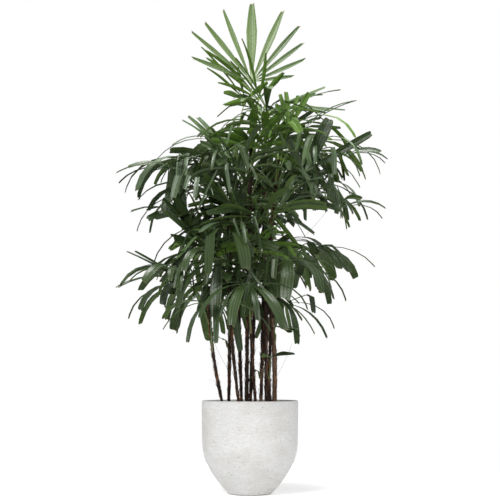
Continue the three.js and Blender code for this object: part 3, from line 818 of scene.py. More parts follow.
def frondPlan(cane, k):
    f, loose, dice, last = frondSizes, frondSizes["loose"], makeDice(cane["dice"][k]), len(cane["dice"]) - 1
    age = 1 - k / last if last else 0  # 1 at the lowest frond, 0 at the highest
    rise, top, size = 1 - age, k == last, cane["size"]
    own = level(cane["bearing"] + f["turn"] * k + loose["turn"] * dice())
    out = np.array([*cane["tip"][:2], 0.0])
    pull = f["spread"] * min(1, np.linalg.norm(out) / f["spreadReach"])
    heading = own + unit(out) * pull
    leaflets = mix(f["highLeaflets"], f["lowLeaflets"], age)
    fewer = f["fewer"] * max(0, f["small"] - size)
    plan = {"name": cane["name"] + "_" + str(k + 1), "cane": cane, "top": top, "dice": dice}
    plan["place"] = 1 if top else 1 - (cane["leafy"] * age + f["belowTip"]) / caneLength(cane)
    plan["bearing"] = math.atan2(heading[1], heading[0]) / deg
    plan["stalk"] = mix(f["highStalk"], f["lowStalk"], age ** 0.7) * size * (1 + loose["stalk"] * dice())
    plan["climb"] = mix(f["lowRise"], f["highRise"], rise ** 1.3) + loose["climb"] * dice()
    plan["pitch"] = mix(f["lowPitch"], f["highPitch"], rise ** 2) + loose["pitch"] * dice()
    plan["droop"] = mix(f["highDroop"], f["lowDroop"], age ** 0.6) + loose["droop"] * dice()
    plan["leaflets"] = math.floor(leaflets + loose["leaflets"] * dice() - fewer + 0.5)
    plan["length"] = leafletSizes["length"] * size * (1 + loose["length"] * dice())
    plan["width"] = leafletSizes["width"] * min(1, size * 1.3) * (1 + loose["width"] * dice())
    plan["fan"] = f["fan"] * (1 + loose["fan"] * dice())
    plan["skew"] = loose["skew"] * dice()
    if top:
        plan.update(crests.get(cane["name"], {}), young=cane["tip"][2] > f["youngAbove"])
    return plan


def stalkLine(plan, turn=0, lift=0):
    cane, spot, f, stalk = plan["cane"], plan["place"], frondSizes, plan["stalk"]
    heading, ahead = level(plan["bearing"] + turn), caneDirection(cane, spot)
    if plan["top"]:
        start = caneAt(cane, 1) + ahead * f["topSeat"]
    else:
        start = caneAt(cane, spot) + heading * (solidRadius(spot) + f["standOff"])
    climb = (plan["climb"] + lift) * deg
    hub = start + heading * stalk * math.cos(climb) + up * stalk * math.sin(climb)
    elbow = start + ahead * stalk * f["elbow"][0] + heading * stalk * f["elbow"][1]
    return {"heading": heading, "start": start, "elbow": elbow, "hub": hub, "ahead": ahead}


def bladeFrame(plan, line):
    pitch = plan["pitch"] * deg
    heading = level(plan["facing"]) if "facing" in plan else line["heading"]
    forward = heading * math.cos(pitch) + up * math.sin(pitch)
    upper = up * math.cos(pitch) - heading * math.sin(pitch)
    return forward, upper, np.cross(forward, upper)


def leafletPlans(plan):
    z, loose, dice = leafletSizes, leafletSizes["loose"], plan["dice"]
    fan, skew, own = plan["fan"], plan["skew"], plan.get("own")
    if own:
        angles = [leaf[0] for leaf in own]
    else:
        step = 2 * fan / (plan["leaflets"] - 1)
        angles = [skew - fan + step * (i + loose["angle"] * dice()) for i in range(plan["leaflets"])]
    leaflets = []
    for i, angle in enumerate(angles):
        side = min(1, abs(angle - skew) / fan)
        if own:
            length, wider = own[i][1:]
        else:
            length = plan["length"] * (1 - z["sideLength"] * side ** 1.6) * (1 + loose["length"] * dice())
            wider = 1
        leaf = {"angle": angle, "length": length}
        leaf["width"] = plan["width"] * (1 - z["sideWidth"] * side) * (1 + loose["width"] * dice()) * wider
        leaf["lift"] = frondSizes["lift"] + loose["lift"] * dice()
        leaf["droop"] = plan["droop"] * (1 + loose["droop"] * dice())
        leaf["roll"] = z["sideRoll"] * math.sin(angle * deg) + loose["roll"] * dice()
        leaflets.append(leaf)
    return leaflets


def bendShare(s, form):  # how much of its whole bend a leaflet has taken at the share s of its length
    kind, value = form
    if kind == "arched":
        return s ** value
    t = np.clip((s - value) / leafletSizes["foldLength"] + 0.5, 0, 1)
    straight = leafletSizes["foldStraight"]
    return straight * s + (1 - straight) * t * t * (3 - 2 * t)


# where a leaflet's middle line runs, and how it faces at its root
def leafletPath(blade, hub, leaf, change=asPlanned, form=solidForm):
    forward, upper, across = blade
    moreDroop, moreAngle, share = change
    angle, lift, roll = (leaf["angle"] + moreAngle) * deg, leaf["lift"] * deg, leaf["roll"] * deg
    flat = forward * math.cos(angle) + across * math.sin(angle)
    ahead = flat * math.cos(lift) + upper * math.sin(lift)
    above = upper * math.cos(lift) - flat * math.sin(lift)
    side = np.cross(ahead, above)
    face = above * math.cos(roll) + side * math.sin(roll)
    right = side * math.cos(roll) - above * math.sin(roll)
    weight = mix(leafletSizes["edgeHang"], 1, max(0, face[2]))
    most = math.atan2(face[2], -ahead[2]) - leafletSizes["hangClear"] * deg
    bend = min((leaf["droop"] + moreDroop) * weight * deg, max(most, 0))
    length, steps = leaf["length"] * share, leafletSizes["steps"]
    turns = bend * bendShare((np.arange(steps) + 0.5) / steps, form)
    strides = (np.outer(np.cos(turns), ahead) - np.outer(np.sin(turns), face)) * length / steps
    root = hub + flat * frondSizes["hubRadius"]
    spots = np.vstack([root, root + np.cumsum(strides, 0)])
    return {"spots": spots, "ahead": ahead, "face": face, "right": right, "flat": flat,
            "bend": bend, "form": form}


def leafletWidth(s):
    widest, tip, root = leafletSizes["widest"], leafletSizes["tipWidth"], leafletSizes["rootWidth"]
    if s < widest:
        return mix(root, 1, math.sin(math.pi / 2 * s / widest) ** 1.2)
    return mix(1, tip, ((s - widest) / (1 - widest)) ** 2)


# the changes that the solids' fronds and leaflets tried, in order, until they stood clear

stalkChanges = [(turn, lift) for lift in (0, 8, -8, 16) for turn in (0, 12, -12, 24, -24, 38, -38)]
bends = ((0, 0), (14, 0), (-14, 0), (0, 4), (0, -4), (30, 0), (-30, 0), (12, 8), (12, -8),
         (48, 3), (-48, -3), (-20, 9), (-20, -9))
leafletChanges = [(droop, angle, share) for share in (1, 0.92, 0.82, 0.7, 0.58) for droop, angle in bends]


def corners(node):  # the solid's own corners, to look up how each frond was fitted among its neighbours
    co = np.array([v.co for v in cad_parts[node].data.vertices], float) / mm
    tree = KDTree(len(co))
    for i, point in enumerate(co):
        tree.insert(point, i)
    tree.balance()
    return tree


def crownSpot(plan, change):  # on top of a frond's hub
    line = stalkLine(plan, *change)
    return line["hub"] + bladeFrame(plan, line)[1] * frondSizes["hubCrown"]


def keelSpot(blade, hub, leaf, change):  # under a leaflet's tip
    path = leafletPath(blade, hub, leaf, change)
    normal = path["face"] * math.cos(path["bend"]) + path["ahead"] * math.sin(path["bend"])
    return path["spots"][-1] - normal * leafletSizes["keel"]


def fitted(tree, changes, spotOf, *facts):  # the change that the solid was made with
    for change in changes:
        if tree.find(spotOf(*facts, change))[2] < frondSizes["match"]:
            return change
    return None


def fittedLeaflets(tree, plan, blade, hub):
    leaves = []
    crest = plan["top"] and plan["cane"]["name"] in crests
    for leaf in leafletPlans(plan):
        change = fitted(tree, leafletChanges, keelSpot, blade, hub, leaf)
        if change is not None:
            leaf["droop"] += change[0]
            leaf["angle"] += change[1]
            leaf["length"] *= change[2]
            leaf["taper"] = finer["crestTaper" if crest else "taper"]
            leaves.append(leaf)
    return leaves


def between(leaves, dice):  # narrower leaflets in some of the gaps of a fan
    extra = []
    for a, b in zip(leaves, leaves[1:]):
        if b["angle"] - a["angle"] > finer["widestGap"] or abs(dice()) > finer["between"]:
            continue
        leaf = {key: mix(a[key], b[key], 0.5 + 0.1 * dice()) for key in a}
        leaf["width"] *= mix(*finer["betweenWidth"], abs(dice()))
        leaf["length"] *= mix(*finer["betweenLength"], abs(dice()))
        leaf["lift"] += finer["betweenLoose"]["lift"] * dice()
        leaf["droop"] *= 1 + finer["betweenLoose"]["droop"] * dice()
        leaf["roll"] += finer["betweenLoose"]["roll"] * dice()
        extra.append(leaf)
    return extra


def leafletForm(dice, top):
    if abs(dice()) < finer["folded"] and not top:
        return ("folded", pick(finer["foldPlace"], dice))
    return ("arched", pick(finer["arch"], dice, 1.5))


def withPaths(blade, hub, leaves, forms):
    return [(leaf, leafletPath(blade, hub, leaf, asPlanned, form)) for leaf, form in zip(leaves, forms)]


def loosened(plan, hub, blade, leaves, seed):  # what the solids leave out: extra leaflets, widths and folds
    dice, high, crest = makeDice(seed + 400), hub[2], plan["top"] and plan["cane"]["name"] in crests
    own = ownLooks.get(plan["name"], {}).get("slim", 1)
    if high < finer["betweenBelow"] and own == 1:
        leaves = leaves + between(leaves, dice)
    slim = mix(*finer["slimmer"], min(1, max(0, high - finer["slimAbove"]) / finer["slimOver"])) * own
    for leaf in leaves:
        leaf["width"] *= finer["topWideness"] if plan["top"] else slim * pick(finer["wideness"], dice, 2)
        leaf["roll"] += plan.get("roll", 0)
        tip = leafletPath(blade, hub, leaf)["spots"][-1]
        leaf["far"] = math.hypot(tip[0], tip[1]) > finer["farReach"]
        if not leaf["far"] and not crest:
            leaf["length"] *= 1 - finer["lengthLess"] + finer["loose"]["length"] * dice()
            leaf["angle"] += finer["loose"]["angle"] * dice()
            leaf["droop"] *= 1 + finer["loose"]["droop"] * dice()
    forms = [solidForm if leaf["far"] else leafletForm(dice, plan["top"]) for leaf in leaves]
    return withPaths(blade, hub, leaves, forms)


def solidFronds():
    grown = []
    for node in sorted(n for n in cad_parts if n.startswith("frond_")):
        cane, numbers = clump[node[6:].rstrip("0123456789_")], [n for n in node.split("_") if n.isdigit()]
        tree = corners(node)
        for k in [int(n) - 1 for n in numbers]:
            plan = frondPlan(cane, k)
            change = fitted(tree, stalkChanges, crownSpot, plan)
            if change is None:
                continue
            line = stalkLine(plan, *change)
            blade = bladeFrame(plan, line)
            leaves = fittedLeaflets(tree, plan, blade, line["hub"])
            grown.append({"node": node, "seed": cane["dice"][k], "plan": plan, "line": line, "blade": blade,
                          "leaves": loosened(plan, line["hub"], blade, leaves, cane["looks"][k])})
    return grown


def freeFrond(plan, taper):  # a frond of the scene's own, with no solid behind it
    line = stalkLine(plan)
    blade = bladeFrame(plan, line)
    leaves = leafletPlans(plan)
    for leaf in leaves:
        leaf["taper"] = taper
        leaf["roll"] += plan.get("roll", 0)
    forms = [solidForm if "own" in plan else leafletForm(plan["dice"], False) for leaf in leaves]
    return {"node": None, "seed": plan["cane"]["dice"][0], "plan": plan, "line": line, "blade": blade,
            "leaves": withPaths(blade, line["hub"], leaves, forms)}


def innerFronds(cane):
    dice, top, extra = makeDice(cane["inner"] + 900), caneLength(cane), []
    height = inner["lowest"] - pot["soilLevel"] + inner["gap"] * chance(dice)
    while height < top - inner["belowTip"]:
        plan = {"cane": cane, "place": height / top, "top": False, "dice": dice}
        plan["bearing"] = inner["bearing"][0] + inner["bearing"][1] * dice()
        plan.update({key: pick(inner[key], dice) for key in ("stalk", "climb", "pitch", "droop")})
        plan["leaflets"] = inner["leaflets"] + round(1 + dice())
        plan.update({key: pick(inner[key], dice) for key in ("length", "width")})
        plan.update(fan=inner["fan"], skew=inner["skew"] * dice())
        # painted backlight: every third inner frond counts as higher, so it takes a brighter, yellower green
        plan["bright"] = inner["bright"] if len(extra) % 3 == 1 else 0
        extra.append(freeFrond(plan, taper=0.7))
        height += inner["gap"] * (1 + inner["uneven"] * dice())
    return extra


def ownFrond(row):
    cane = clump[row["cane"]]
    spot = (row["height"] - pot["soilLevel"]) / caneLength(cane)
    dice = makeDice(row["seed"])
    return freeFrond({**row, "cane": cane, "place": spot, "top": False, "skew": 0, "dice": dice}, taper=0.8)


fronds = solidFronds()
for stem in clump.values():
    if "inner" in stem:
        fronds += innerFronds(stem)
fronds += [ownFrond(row) for row in strays + shoots]
print("fronds fitted:", len(fronds), "with", sum(len(f["leaves"]) for f in fronds), "leaflets")

# leaf finishes: each age has an upper and an under side, in two shades of each. The under side's colour is
# painted backlight, brighter and yellower as if light shone through the leaflet

# pale is the colour of painted highlights on the ribs, the streaks and the crest's middles; it also lightens
# each leaflet towards its root
leafTones = {
    "crest": {"upper": tone(62, 90, 38), "other": tone(84, 112, 48), "backlitUnder": tone(96, 126, 52),
              "pale": tone(196, 212, 170), "rough": 0.32, "sheen": 0.45,
              "ribSheen": 0.17, "midSheen": 0.18, "dry": 0.975},
    "fresh": {"upper": tone(65, 94, 37), "other": tone(86, 118, 45), "backlitUnder": tone(100, 136, 45),
              "pale": tone(130, 160, 86), "rough": 0.5, "sheen": 0.26},
    "clear": {"upper": tone(56, 76, 41), "other": tone(68, 90, 46), "backlitUnder": tone(94, 121, 50),
              "pale": tone(124, 146, 108), "rough": 0.42, "sheen": 0.27},
    "grown": {"upper": tone(51, 68, 42), "other": tone(64, 81, 51), "backlitUnder": tone(94, 118, 50),
              "pale": tone(120, 138, 114), "rough": 0.35, "sheen": 0.32},
    "old": {"upper": tone(29, 44, 18), "other": tone(41, 57, 24), "backlitUnder": tone(60, 82, 26),
            "pale": tone(92, 112, 78), "rough": 0.3, "sheen": 0.3},
}

leafAges = {
    "shadesAbove": (("fresh", 1430), ("clear", 1260), ("grown", 960)),  # by the hub's height, otherwise old
    "steps": (0, 60, -70, 0, 110, -50, -100),  # some fronds count as higher or lower than they are
    "young": 110,
    "pieces": (("leavesYoung", "frond_young", 1290), ("leavesGrown", "frond_grown", 1000),
               ("leavesOld", "frond_old", 0)),  # each above a height
    "underGloss": (0.55, 0.2),  # rough and sheen
    "dryTip": tone(128, 112, 70),
}


def leafMaterial(kind, side):
    tones, upper = leafTones[kind], side == "upper"
    pale, other = tones["pale"], tones["other"]
    material, tree, shader = newMaterial(kind + ("Leaf" if upper else "LeafBacklitUnder"))
    across, along = bladePoint(tree)
    tint = attribute(tree, "tint")
    drift = grain(tree, even, 7, 3, 0.5)
    veins = tree.nodes.new("ShaderNodeCombineXYZ")
    for socket, value, often in zip(veins.inputs, (across, along, tint), (46, 2.2, 90)):
        feed(tree, socket, calc(tree, "MULTIPLY", value, often))
    streak = grainOn(tree, veins.outputs[0], 1.0, 3, 0.6)
    rib = calc(tree, "SINE", calc(tree, "MULTIPLY", across, 2 * math.pi * 4))
    # on the under side this starts from the backlitUnder colour, painted light shining through
    base = tinged(tree, tones[side], other, tint, 0, 1, 0.15, 0.9)
    base = tinged(tree, base, other, drift, 0, 0.35, 0.4, 0.7)
    # painted sheen: pale stripes along the pleats, where the folds catch the light
    base = tinged(tree, base, pale, rib, 0, tones.get("ribSheen", 0.28), 0.2, 1.0)
    # painted sheen: pale streaks along the leaflet
    base = tinged(tree, base, pale, streak, 0, 0.35, 0.5, 0.8)
    base = tinged(tree, base, pale, along, 0.55, 0, 0.0, 0.12)
    if "midSheen" in tones:  # painted highlight: the young leaflets are paler half way along
        rise, fall = ramp(tree, along, 0, 1, 0.15, 0.5), ramp(tree, along, 1, 0, 0.5, 0.88)
        middle = calc(tree, "MULTIPLY", rise, fall)
        middle = calc(tree, "MULTIPLY", middle, ramp(tree, streak, 0.2, 1, 0.35, 0.65))
        base = blend(tree, calc(tree, "MULTIPLY", middle, tones["midSheen"]), base, pale)
    dry = tones.get("dry", 1.0)
    tip = calc(tree, "ADD", along, calc(tree, "MULTIPLY", streak, 0.03))
    base = tinged(tree, base, leafAges["dryTip"], tip, 0, 0.6, dry, dry + 0.03)
    rough, sheen = (tones["rough"], tones["sheen"]) if upper else leafAges["underGloss"]
    coat(tree, shader, base, ramp(tree, streak, rough - 0.07, rough + 0.12, 0.3, 0.7), sheen)
    relief(tree, shader, calc(tree, "ADD", streak, calc(tree, "MULTIPLY", rib, 0.5)), 0.4, 0.0007)
    return material


def leafletRows(leaf, path, frond, dice):  # the leaflet's sections, from inside the hub to its tip
    z, half, top = leafletSizes, leaf["width"] / 2, frond["plan"]["top"]
    twist, sweep = z["twist"] * dice() * deg, z["sweep"] * dice()
    cant = z["cant"] * (math.sin(leaf["angle"] * deg) + 1.2 * dice()) * deg * (z["topCant"] if top else 1)
    heart = mix(frond["line"]["hub"] + frond["blade"][1] * z["hubRise"], path["spots"][0], 0.25)
    rows = [(heart, path["right"], path["face"], path["flat"], z["hubHalf"], z["hubDepth"], 0)]
    for k in z["stations"]:
        s = k / z["steps"]
        low = min(int(k), z["steps"] - 1)
        turn, roll = path["bend"] * bendShare(s, path["form"]), twist * s ** 1.5 + cant * min(1, s * 3)
        normal = path["face"] * math.cos(turn) + path["ahead"] * math.sin(turn)
        onward = path["ahead"] * math.cos(turn) - path["face"] * math.sin(turn)
        right = path["right"] * math.cos(roll) - normal * math.sin(roll)
        normal = normal * math.cos(roll) + path["right"] * math.sin(roll)
        spot = mix(path["spots"][low], path["spots"][low + 1], k - low) + right * sweep * s * s
        narrow = max(0, 3 * s - 2) if top else s == 1
        width = half * leafletWidth(s) * mix(1, leaf["taper"], narrow)
        rows.append((spot, right, normal, onward, width, mix(z["rootDepth"], 1, min(1, 3 * s)), s))
    return rows


def leafletInto(pile, leaf, path, frond, slots, dice, tint):
    z = leafletSizes
    across = np.array([-1, -0.5, 0, 0.5, 1])  # each section has five points on top, and one below the middle
    fold = np.array([0, 1, -1, 1, 0])
    rows = leafletRows(leaf, path, frond, dice)
    slant = z["slant"] * dice() * across
    tooth = np.array([z["teeth"] * (0.3 + 0.3 * dice()) + notch for notch in z["notches"]]) + slant
    points, alongs = [], []
    for spot, right, normal, onward, width, depth, s in rows:
        height = (z["pleat"] * fold * min(1, width / 12) - z["gutter"] * (1 - across ** 2)) * depth
        top = spot + np.outer(across * width, right) + np.outer(height, normal)
        if s == 1:
            top = top - np.outer(tooth, onward)
        points += [top, [top[2] - normal * z["thick"]]]
        alongs += [s] * 6
    last = 6 * (len(rows) - 1)
    ends = [(3, 2, 1, 0), (5, 4, 3, 0)]
    ends += [(last, last + 1, last + 2, last + 5), (last + 2, last + 3, last + 4, last + 5)]
    kinds = ([slots[0]] * 4 + [slots[1]] * 2) * (len(rows) - 1) + [slots[0]] * 4
    addToPile(pile, np.vstack(points), sideFaces(len(rows), 6) + ends, kinds,
              [0, 0.25, 0.5, 0.75, 1, 0.5] * len(rows), alongs, tint)


def frondKind(frond):  # brighter towards the top
    plan = frond["plan"]
    own = ownLooks.get(plan.get("name"), {})
    if "shade" in own:
        return own["shade"]
    bound = frond["line"]["hub"][2] + leafAges["steps"][frond["seed"] % len(leafAges["steps"])]
    bound += plan.get("bright", 0) + (leafAges["young"] if plan.get("young") else 0)
    return next((kind for kind, least in leafAges["shadesAbove"] if bound > least), "old")


def makeLeaves():
    kinds = list(leafTones)
    materials = [leafMaterial(kind, side) for kind in kinds for side in ("upper", "backlitUnder")]
    piles = {name: newPile() for name, slot, least in leafAges["pieces"]}
    stands = {name: [] for name in piles}
    groups = {}
    for i, frond in enumerate(fronds):
        groups.setdefault(frond["node"] or i, []).append(frond)
    for members in groups.values():
        height, node = members[0]["line"]["hub"][2], members[0]["node"]
        name = next(name for name, slot, least in leafAges["pieces"] if height > least)
        if node:
            stands[name].append(node)
        for frond in members:
            at = kinds.index(frondKind(frond)) * 2
            for i, (leaf, path) in enumerate(frond["leaves"]):
                dice = makeDice(frond["seed"] * 31 + i)
                leafletInto(piles[name], leaf, path, frond, (at, at + 1), dice, chance(dice))
    for name, slot, least in leafAges["pieces"]:
        place(pieceFromPile(name, piles[name], materials, sharp=27), stands[name])
        print(name, len(piles[name]["faces"]), "faces")


makeLeaves()

# stalks, each clasping its cane at the foot and swelling a little into the hub

stalks = {
    "rows": 14,
    "sides": 8,
    "footRadius": 4.2,
    "radius": 2.5,
    "endRadius": 1.7,
    "hubRadius": 4.6,
    "topClasp": 6,  # how far the foot reaches down the cane
    "clasp": 22,
    "inset": 1.5,  # how far the foot sits inside the cane
    "hubSwell": 0.55,  # where the swelling starts, from the last row but one
    "hubEnd": 3.2,
    "hubTip": 0.45,
    "fresh": (tone(126, 158, 72), tone(150, 176, 100)),
    "grown": (tone(62, 92, 40), tone(92, 118, 56)),
    "footColour": tone(96, 78, 46),
}


def stalkMaterial(name, colours):
    material, tree, shader = newMaterial(name)
    fibre = grain(tree, (1, 1, 0.15), 260, 3, 0.6)
    drift = grain(tree, even, 18, 3, 0.6)
    colour = tinged(tree, *colours, drift, 0, 1, 0.35, 0.7)
    colour = tinged(tree, colour, stalks["footColour"], bladePoint(tree)[1], 0.8, 0, 0.0, 0.16)
    coat(tree, shader, colour, ramp(tree, fibre, 0.38, 0.6))
    relief(tree, shader, fibre, 0.3, 0.0006)
    return material


def stalkInto(pile, frond):
    line, plan, z = frond["line"], frond["plan"], stalks
    cane, spot = plan["cane"], plan["place"]
    size = min(1, 0.4 + 0.6 * cane["size"])
    shift = fineCaneAt(cane, spot) - caneAt(cane, spot)
    start, elbow = line["start"] + shift, line["elbow"] + shift * 0.5
    foot = start - line["ahead"] * (z["topClasp"] if plan["top"] else z["clasp"])
    if not plan["top"]:
        foot = foot - line["heading"] * (frondSizes["standOff"] + z["inset"])
    centres, radii = [foot], [z["footRadius"] * size]
    for k in range(z["rows"]):
        t = k / (z["rows"] - 1)
        centres.append(start * (1 - t) ** 2 + elbow * 2 * t * (1 - t) + line["hub"] * t * t)
        radii.append(size * mix(mix(z["footRadius"], z["radius"], min(1, t * 5)), z["endRadius"], t ** 0.7))
    radii[-1] = size * z["hubRadius"]
    centres[-2] = mix(centres[-2], centres[-1], z["hubSwell"])
    centres.append(centres[-1] + unit(centres[-1] - centres[-2]) * z["hubEnd"])
    radii.append(size * z["hubRadius"] * z["hubTip"])
    slot = 0 if frondKind(frond) in ("crest", "fresh") else 1
    tube(pile, centres, radii, z["sides"], slot, np.cross(line["heading"], up))


def makeStalks():
    pile = newPile()
    for frond in fronds:
        stalkInto(pile, frond)
    materials = [stalkMaterial(kind + "Stalk", stalks[kind]) for kind in ("fresh", "grown")]
    place(pieceFromPile("stalks", pile, materials, sharp=70))


makeStalks()
print("stalks made")

# husks: ragged brown fibre left round the canes by old leaf bases, denser towards the crown

husks = {
    "lowest": (12.0, 40.0),  # on a cane that is covered and on one that is half bare
    "belowTip": 12,
    "leafyBelow": 40,
    "leafy": {"strips": 1.3, "length": 1.25, "lean": 1.2, "gap": 0.8},  # where the cane bears fronds
    "lower": {"strips": 1, "length": 1, "lean": 1, "gap": 1},
    "bareHeight": 300,
    "bareShare": 0.3,
    "rustShare": (0.1, 0.5),  # on any cane, and more on a bare one's foot
    "rustHeight": 350,
    "greyShare": 0.07,
    "gap": (13, 23),
    "strips": (5, 8),
    "length": (18, 40),
    "width": (2.4, 5.4),
    "lean": (0.8, 7.5),
    "thick": 0.5,
    "tongue": ((0, 1.0), (0.45, 0.9), (0.8, 0.65), (1.0, 0.25)),  # places along a strip and its width there
    "strayKinds": (  # loose fibres. many is for each metre, spread is how far askew they grow
        {"many": 190, "length": (6, 20), "thick": 0.6, "spread": 0.25, "steps": (0, 0.4, 1)},
        {"many": 22, "length": (20, 60), "thick": 0.55, "spread": 1.0, "steps": (0, 0.35, 0.7, 1)}),
    "strayHighest": 0.96,
    "strayLift": (0.3, 1.1),
    "strayDroop": 0.4,
    "strayOut": 0.45,
    "strayTip": 0.3,
    "strands": (  # long ones that hang between two leaves
        ((-131, -26, 542), (-79, 2, 440)),
        ((94, -12, 410), (150, -60, 530)),
        ((186, -40, 905), (298, -60, 1035))),
    "strandRadius": 0.45,
    "strandSag": 26,
    "colours": {
        "huskDark": (tone(30, 22, 18), tone(64, 44, 32)),
        "huskRust": (tone(84, 52, 34), tone(128, 84, 54)),
        "huskGrey": (tone(62, 54, 46), tone(104, 90, 74))},
}


def huskMaterial(name, colours):
    material, tree, shader = newMaterial(name)
    fibre = grain(tree, (1, 1, 0.05), 520, 3, 0.65)
    blotch = grain(tree, even, 70, 3, 0.6)
    colour = tinged(tree, *colours, fibre, 0, 1, 0.35, 0.7)
    colour = tinged(tree, colour, colours[0], blotch, 0, 0.5, 0.5, 0.75)
    coat(tree, shader, colour, ramp(tree, fibre, 0.75, 0.95), 0.25)
    relief(tree, shader, fibre, 0.8, 0.001)
    return material


def stripInto(pile, cane, t, turn, length, width, lean, slot, dice):  # a flat tongue that hugs the cane
    points, rise = [], length / caneLength(cane)
    for share, narrow in husks["tongue"]:
        at = min(1, t + rise * share)
        way = level(turn + 10 * dice() * share)
        side = np.cross(up, way)
        r = caneRadius(cane, at) + 0.2 + lean * share ** 2.2
        for outward, sideways in ((0, -1), (0, 1), (husks["thick"], 1), (husks["thick"], -1)):
            points.append(fineCaneAt(cane, at) + way * (r + outward) + side * sideways * width / 2 * narrow)
    rows = len(husks["tongue"])
    last = 4 * (rows - 1)
    addToPile(pile, points, sideFaces(rows, 4) + [(3, 2, 1, 0), (last, last + 1, last + 2, last + 3)], slot)


def huskSlot(lot, bare, height):  # rust low on a bare cane, now and then grey, otherwise dark
    least, more = husks["rustShare"]
    if lot < least + more * bare * max(0, 1 - height / husks["rustHeight"]):
        return 1
    return 2 if lot > 1 - husks["greyShare"] else 0


def huskRings(pile, cane, dice):
    length, bare = caneLength(cane), cane["bare"]
    height = husks["lowest"][0 if bare < 0.5 else 1]
    while height < length - husks["belowTip"]:
        more = husks["leafy" if height > length - cane["leafy"] - husks["leafyBelow"] else "lower"]
        wanted = pick(husks["strips"], dice) * more["strips"]
        if height < husks["bareHeight"] * bare:
            wanted *= husks["bareShare"]
        start = 180 * dice()
        for i in range(round(wanted)):
            turn = start + 360 * i / max(1, wanted) + 18 * dice()
            grow = pick(husks["length"], dice) * more["length"]
            slot = huskSlot(chance(dice), bare, height)
            width = pick(husks["width"], dice)
            lean = pick(husks["lean"], dice, 2.5) * more["lean"]
            stripInto(pile, cane, height / length, turn, grow, width, lean, slot, dice)
        height += pick(husks["gap"], dice) * more["gap"]


def strayFibre(pile, cane, dice, kind):
    t, way = chance(dice) * husks["strayHighest"], level(180 * dice())
    reach = pick(kind["length"], dice, 2)
    onward = way * husks["strayOut"] + up * pick(husks["strayLift"], dice)
    root = fineCaneAt(cane, t) + way * caneRadius(cane, t) * 0.85
    bend = np.cross(up, way) * dice() * kind["spread"] / 2 - up * husks["strayDroop"]
    centres = [root + (onward * s + bend * s * s) * reach for s in kind["steps"]]
    radii = [kind["thick"] * mix(1, husks["strayTip"], s) for s in kind["steps"]]
    tube(pile, centres, radii, 3, 0 if dice() < 0.5 else 2, np.array([0.3, 0.2, 1.0]))


def makeHusks():
    pile = newPile()
    for cane in clump.values():
        dice = makeDice(cane["dice"][0] * 3 + 1)
        huskRings(pile, cane, dice)
        for kind in husks["strayKinds"]:
            for _ in range(int(kind["many"] * caneLength(cane) / 1000)):
                strayFibre(pile, cane, dice, kind)
    for start, end in np.array(husks["strands"], float):
        centres = [mix(start, end, t) - up * husks["strandSag"] * t * (1 - t) for t in np.linspace(0, 1, 9)]
        tube(pile, centres, [husks["strandRadius"]] * 9, 3, 2, np.array([0, 1.0, 0.1]))
    materials = [huskMaterial(name, colours) for name, colours in husks["colours"].items()]
    place(pieceFromPile("husks", pile, materials, sharp=40))
    print("husks made,", len(pile["faces"]), "faces")


makeHusks()

# studio: a pale floor that runs into a white room, broad soft lights and the camera

studio = {
    "floorRadius": 1.35,
    "floorDrop": 0.0002,
    "floorColour": (0.86, 0.86, 0.86, 1),
    "floorGlow": 0.34,  # a lit table, so that the floor runs into the room
    "white": (1, 1, 1, 1),
    "roomLight": (0.1, 0.55),  # from below and from above
    "roomHorizon": (-0.3, 0.5),
    "lamps": (
        ("keyLamp", (-2.0, -3.4, 3.0), (0, 0, 0.85), 2.3, 168),
        ("fillLamp", (3.0, -3.0, 1.7), (0, 0, 0.8), 2.2, 62),
        ("topLamp", (0.1, 0.1, 4.4), (0, 0, 1.2), 1.8, 185),
    ),
    "cameraHeight": 0.416,
    "cameraBack": 3.927,
    "cameraTilt": 6.6,
    "lens": 78.2,
    "sensor": 36,
}


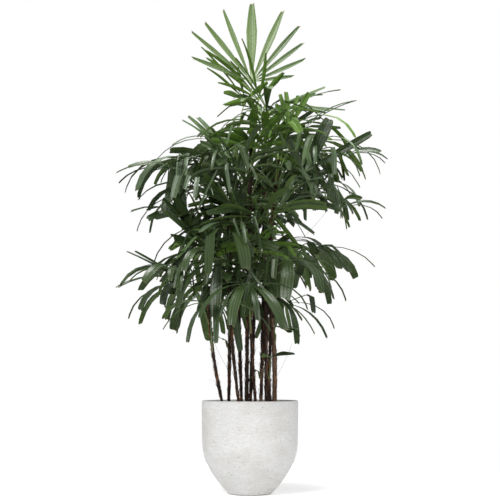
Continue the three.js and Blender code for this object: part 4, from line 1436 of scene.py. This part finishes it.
def makeRoom():
    world = bpy.data.worlds.new("studio")
    bpy.context.scene.world = world
    world.use_nodes = True
    tree = world.node_tree
    tree.nodes.clear()
    out = tree.nodes.new("ShaderNodeOutputWorld")
    either = tree.nodes.new("ShaderNodeMixShader")
    lit, seen = (tree.nodes.new("ShaderNodeBackground") for _ in range(2))
    way = tree.nodes.new("ShaderNodeTexCoord").outputs["Generated"]
    feed(tree, lit.inputs[1], ramp(tree, apart(tree, way)[2], *studio["roomLight"], *studio["roomHorizon"]))
    ray = tree.nodes.new("ShaderNodeLightPath")
    tree.links.new(ray.outputs["Is Camera Ray"], either.inputs[0])
    for i, background in enumerate((lit, seen)):
        background.inputs[0].default_value = studio["white"]
        tree.links.new(background.outputs[0], either.inputs[i + 1])
    tree.links.new(either.outputs[0], out.inputs[0])


def makeLamp(name, spot, aim, size, power):
    lamp = bpy.data.lights.new(name, "AREA")
    lamp.shape = "DISK"
    lamp.size = size
    lamp.energy = power
    holder = bpy.data.objects.new(name, lamp)
    holder.location = spot
    holder.rotation_euler = (Vector(aim) - Vector(spot)).to_track_quat("-Z", "Y").to_euler()
    bpy.context.scene.collection.objects.link(holder)


def makeFloor():
    bm = bmesh.new()
    bmesh.ops.create_circle(bm, segments=96, radius=studio["floorRadius"], cap_ends=True)
    bmesh.ops.translate(bm, verts=bm.verts, vec=(0, 0, -studio["floorDrop"]))
    material, tree, shader = newMaterial("paleFloor")
    coat(tree, shader, studio["floorColour"], 0.9, 0.1)
    shader.inputs["Emission Color"].default_value = studio["white"]
    shader.inputs["Emission Strength"].default_value = studio["floorGlow"]
    pieceFromBmesh("floor", bm, [material], sharp=40)


def makeCamera():
    camera = bpy.data.cameras.new("camera")
    camera.lens = studio["lens"]
    camera.sensor_width = studio["sensor"]
    camera.clip_start = 0.05
    camera.clip_end = 200
    holder = bpy.data.objects.new("camera", camera)
    holder.location = (0, -studio["cameraBack"], studio["cameraHeight"])
    holder.rotation_euler = ((90 + studio["cameraTilt"]) * deg, 0, 0)
    bpy.context.scene.collection.objects.link(holder)
    bpy.context.scene.camera = holder


makeRoom()
for lampRow in studio["lamps"]:
    makeLamp(*lampRow)
makeFloor()
makeCamera()
bpy.context.scene.view_settings.view_transform = "Standard"
print("studio made")
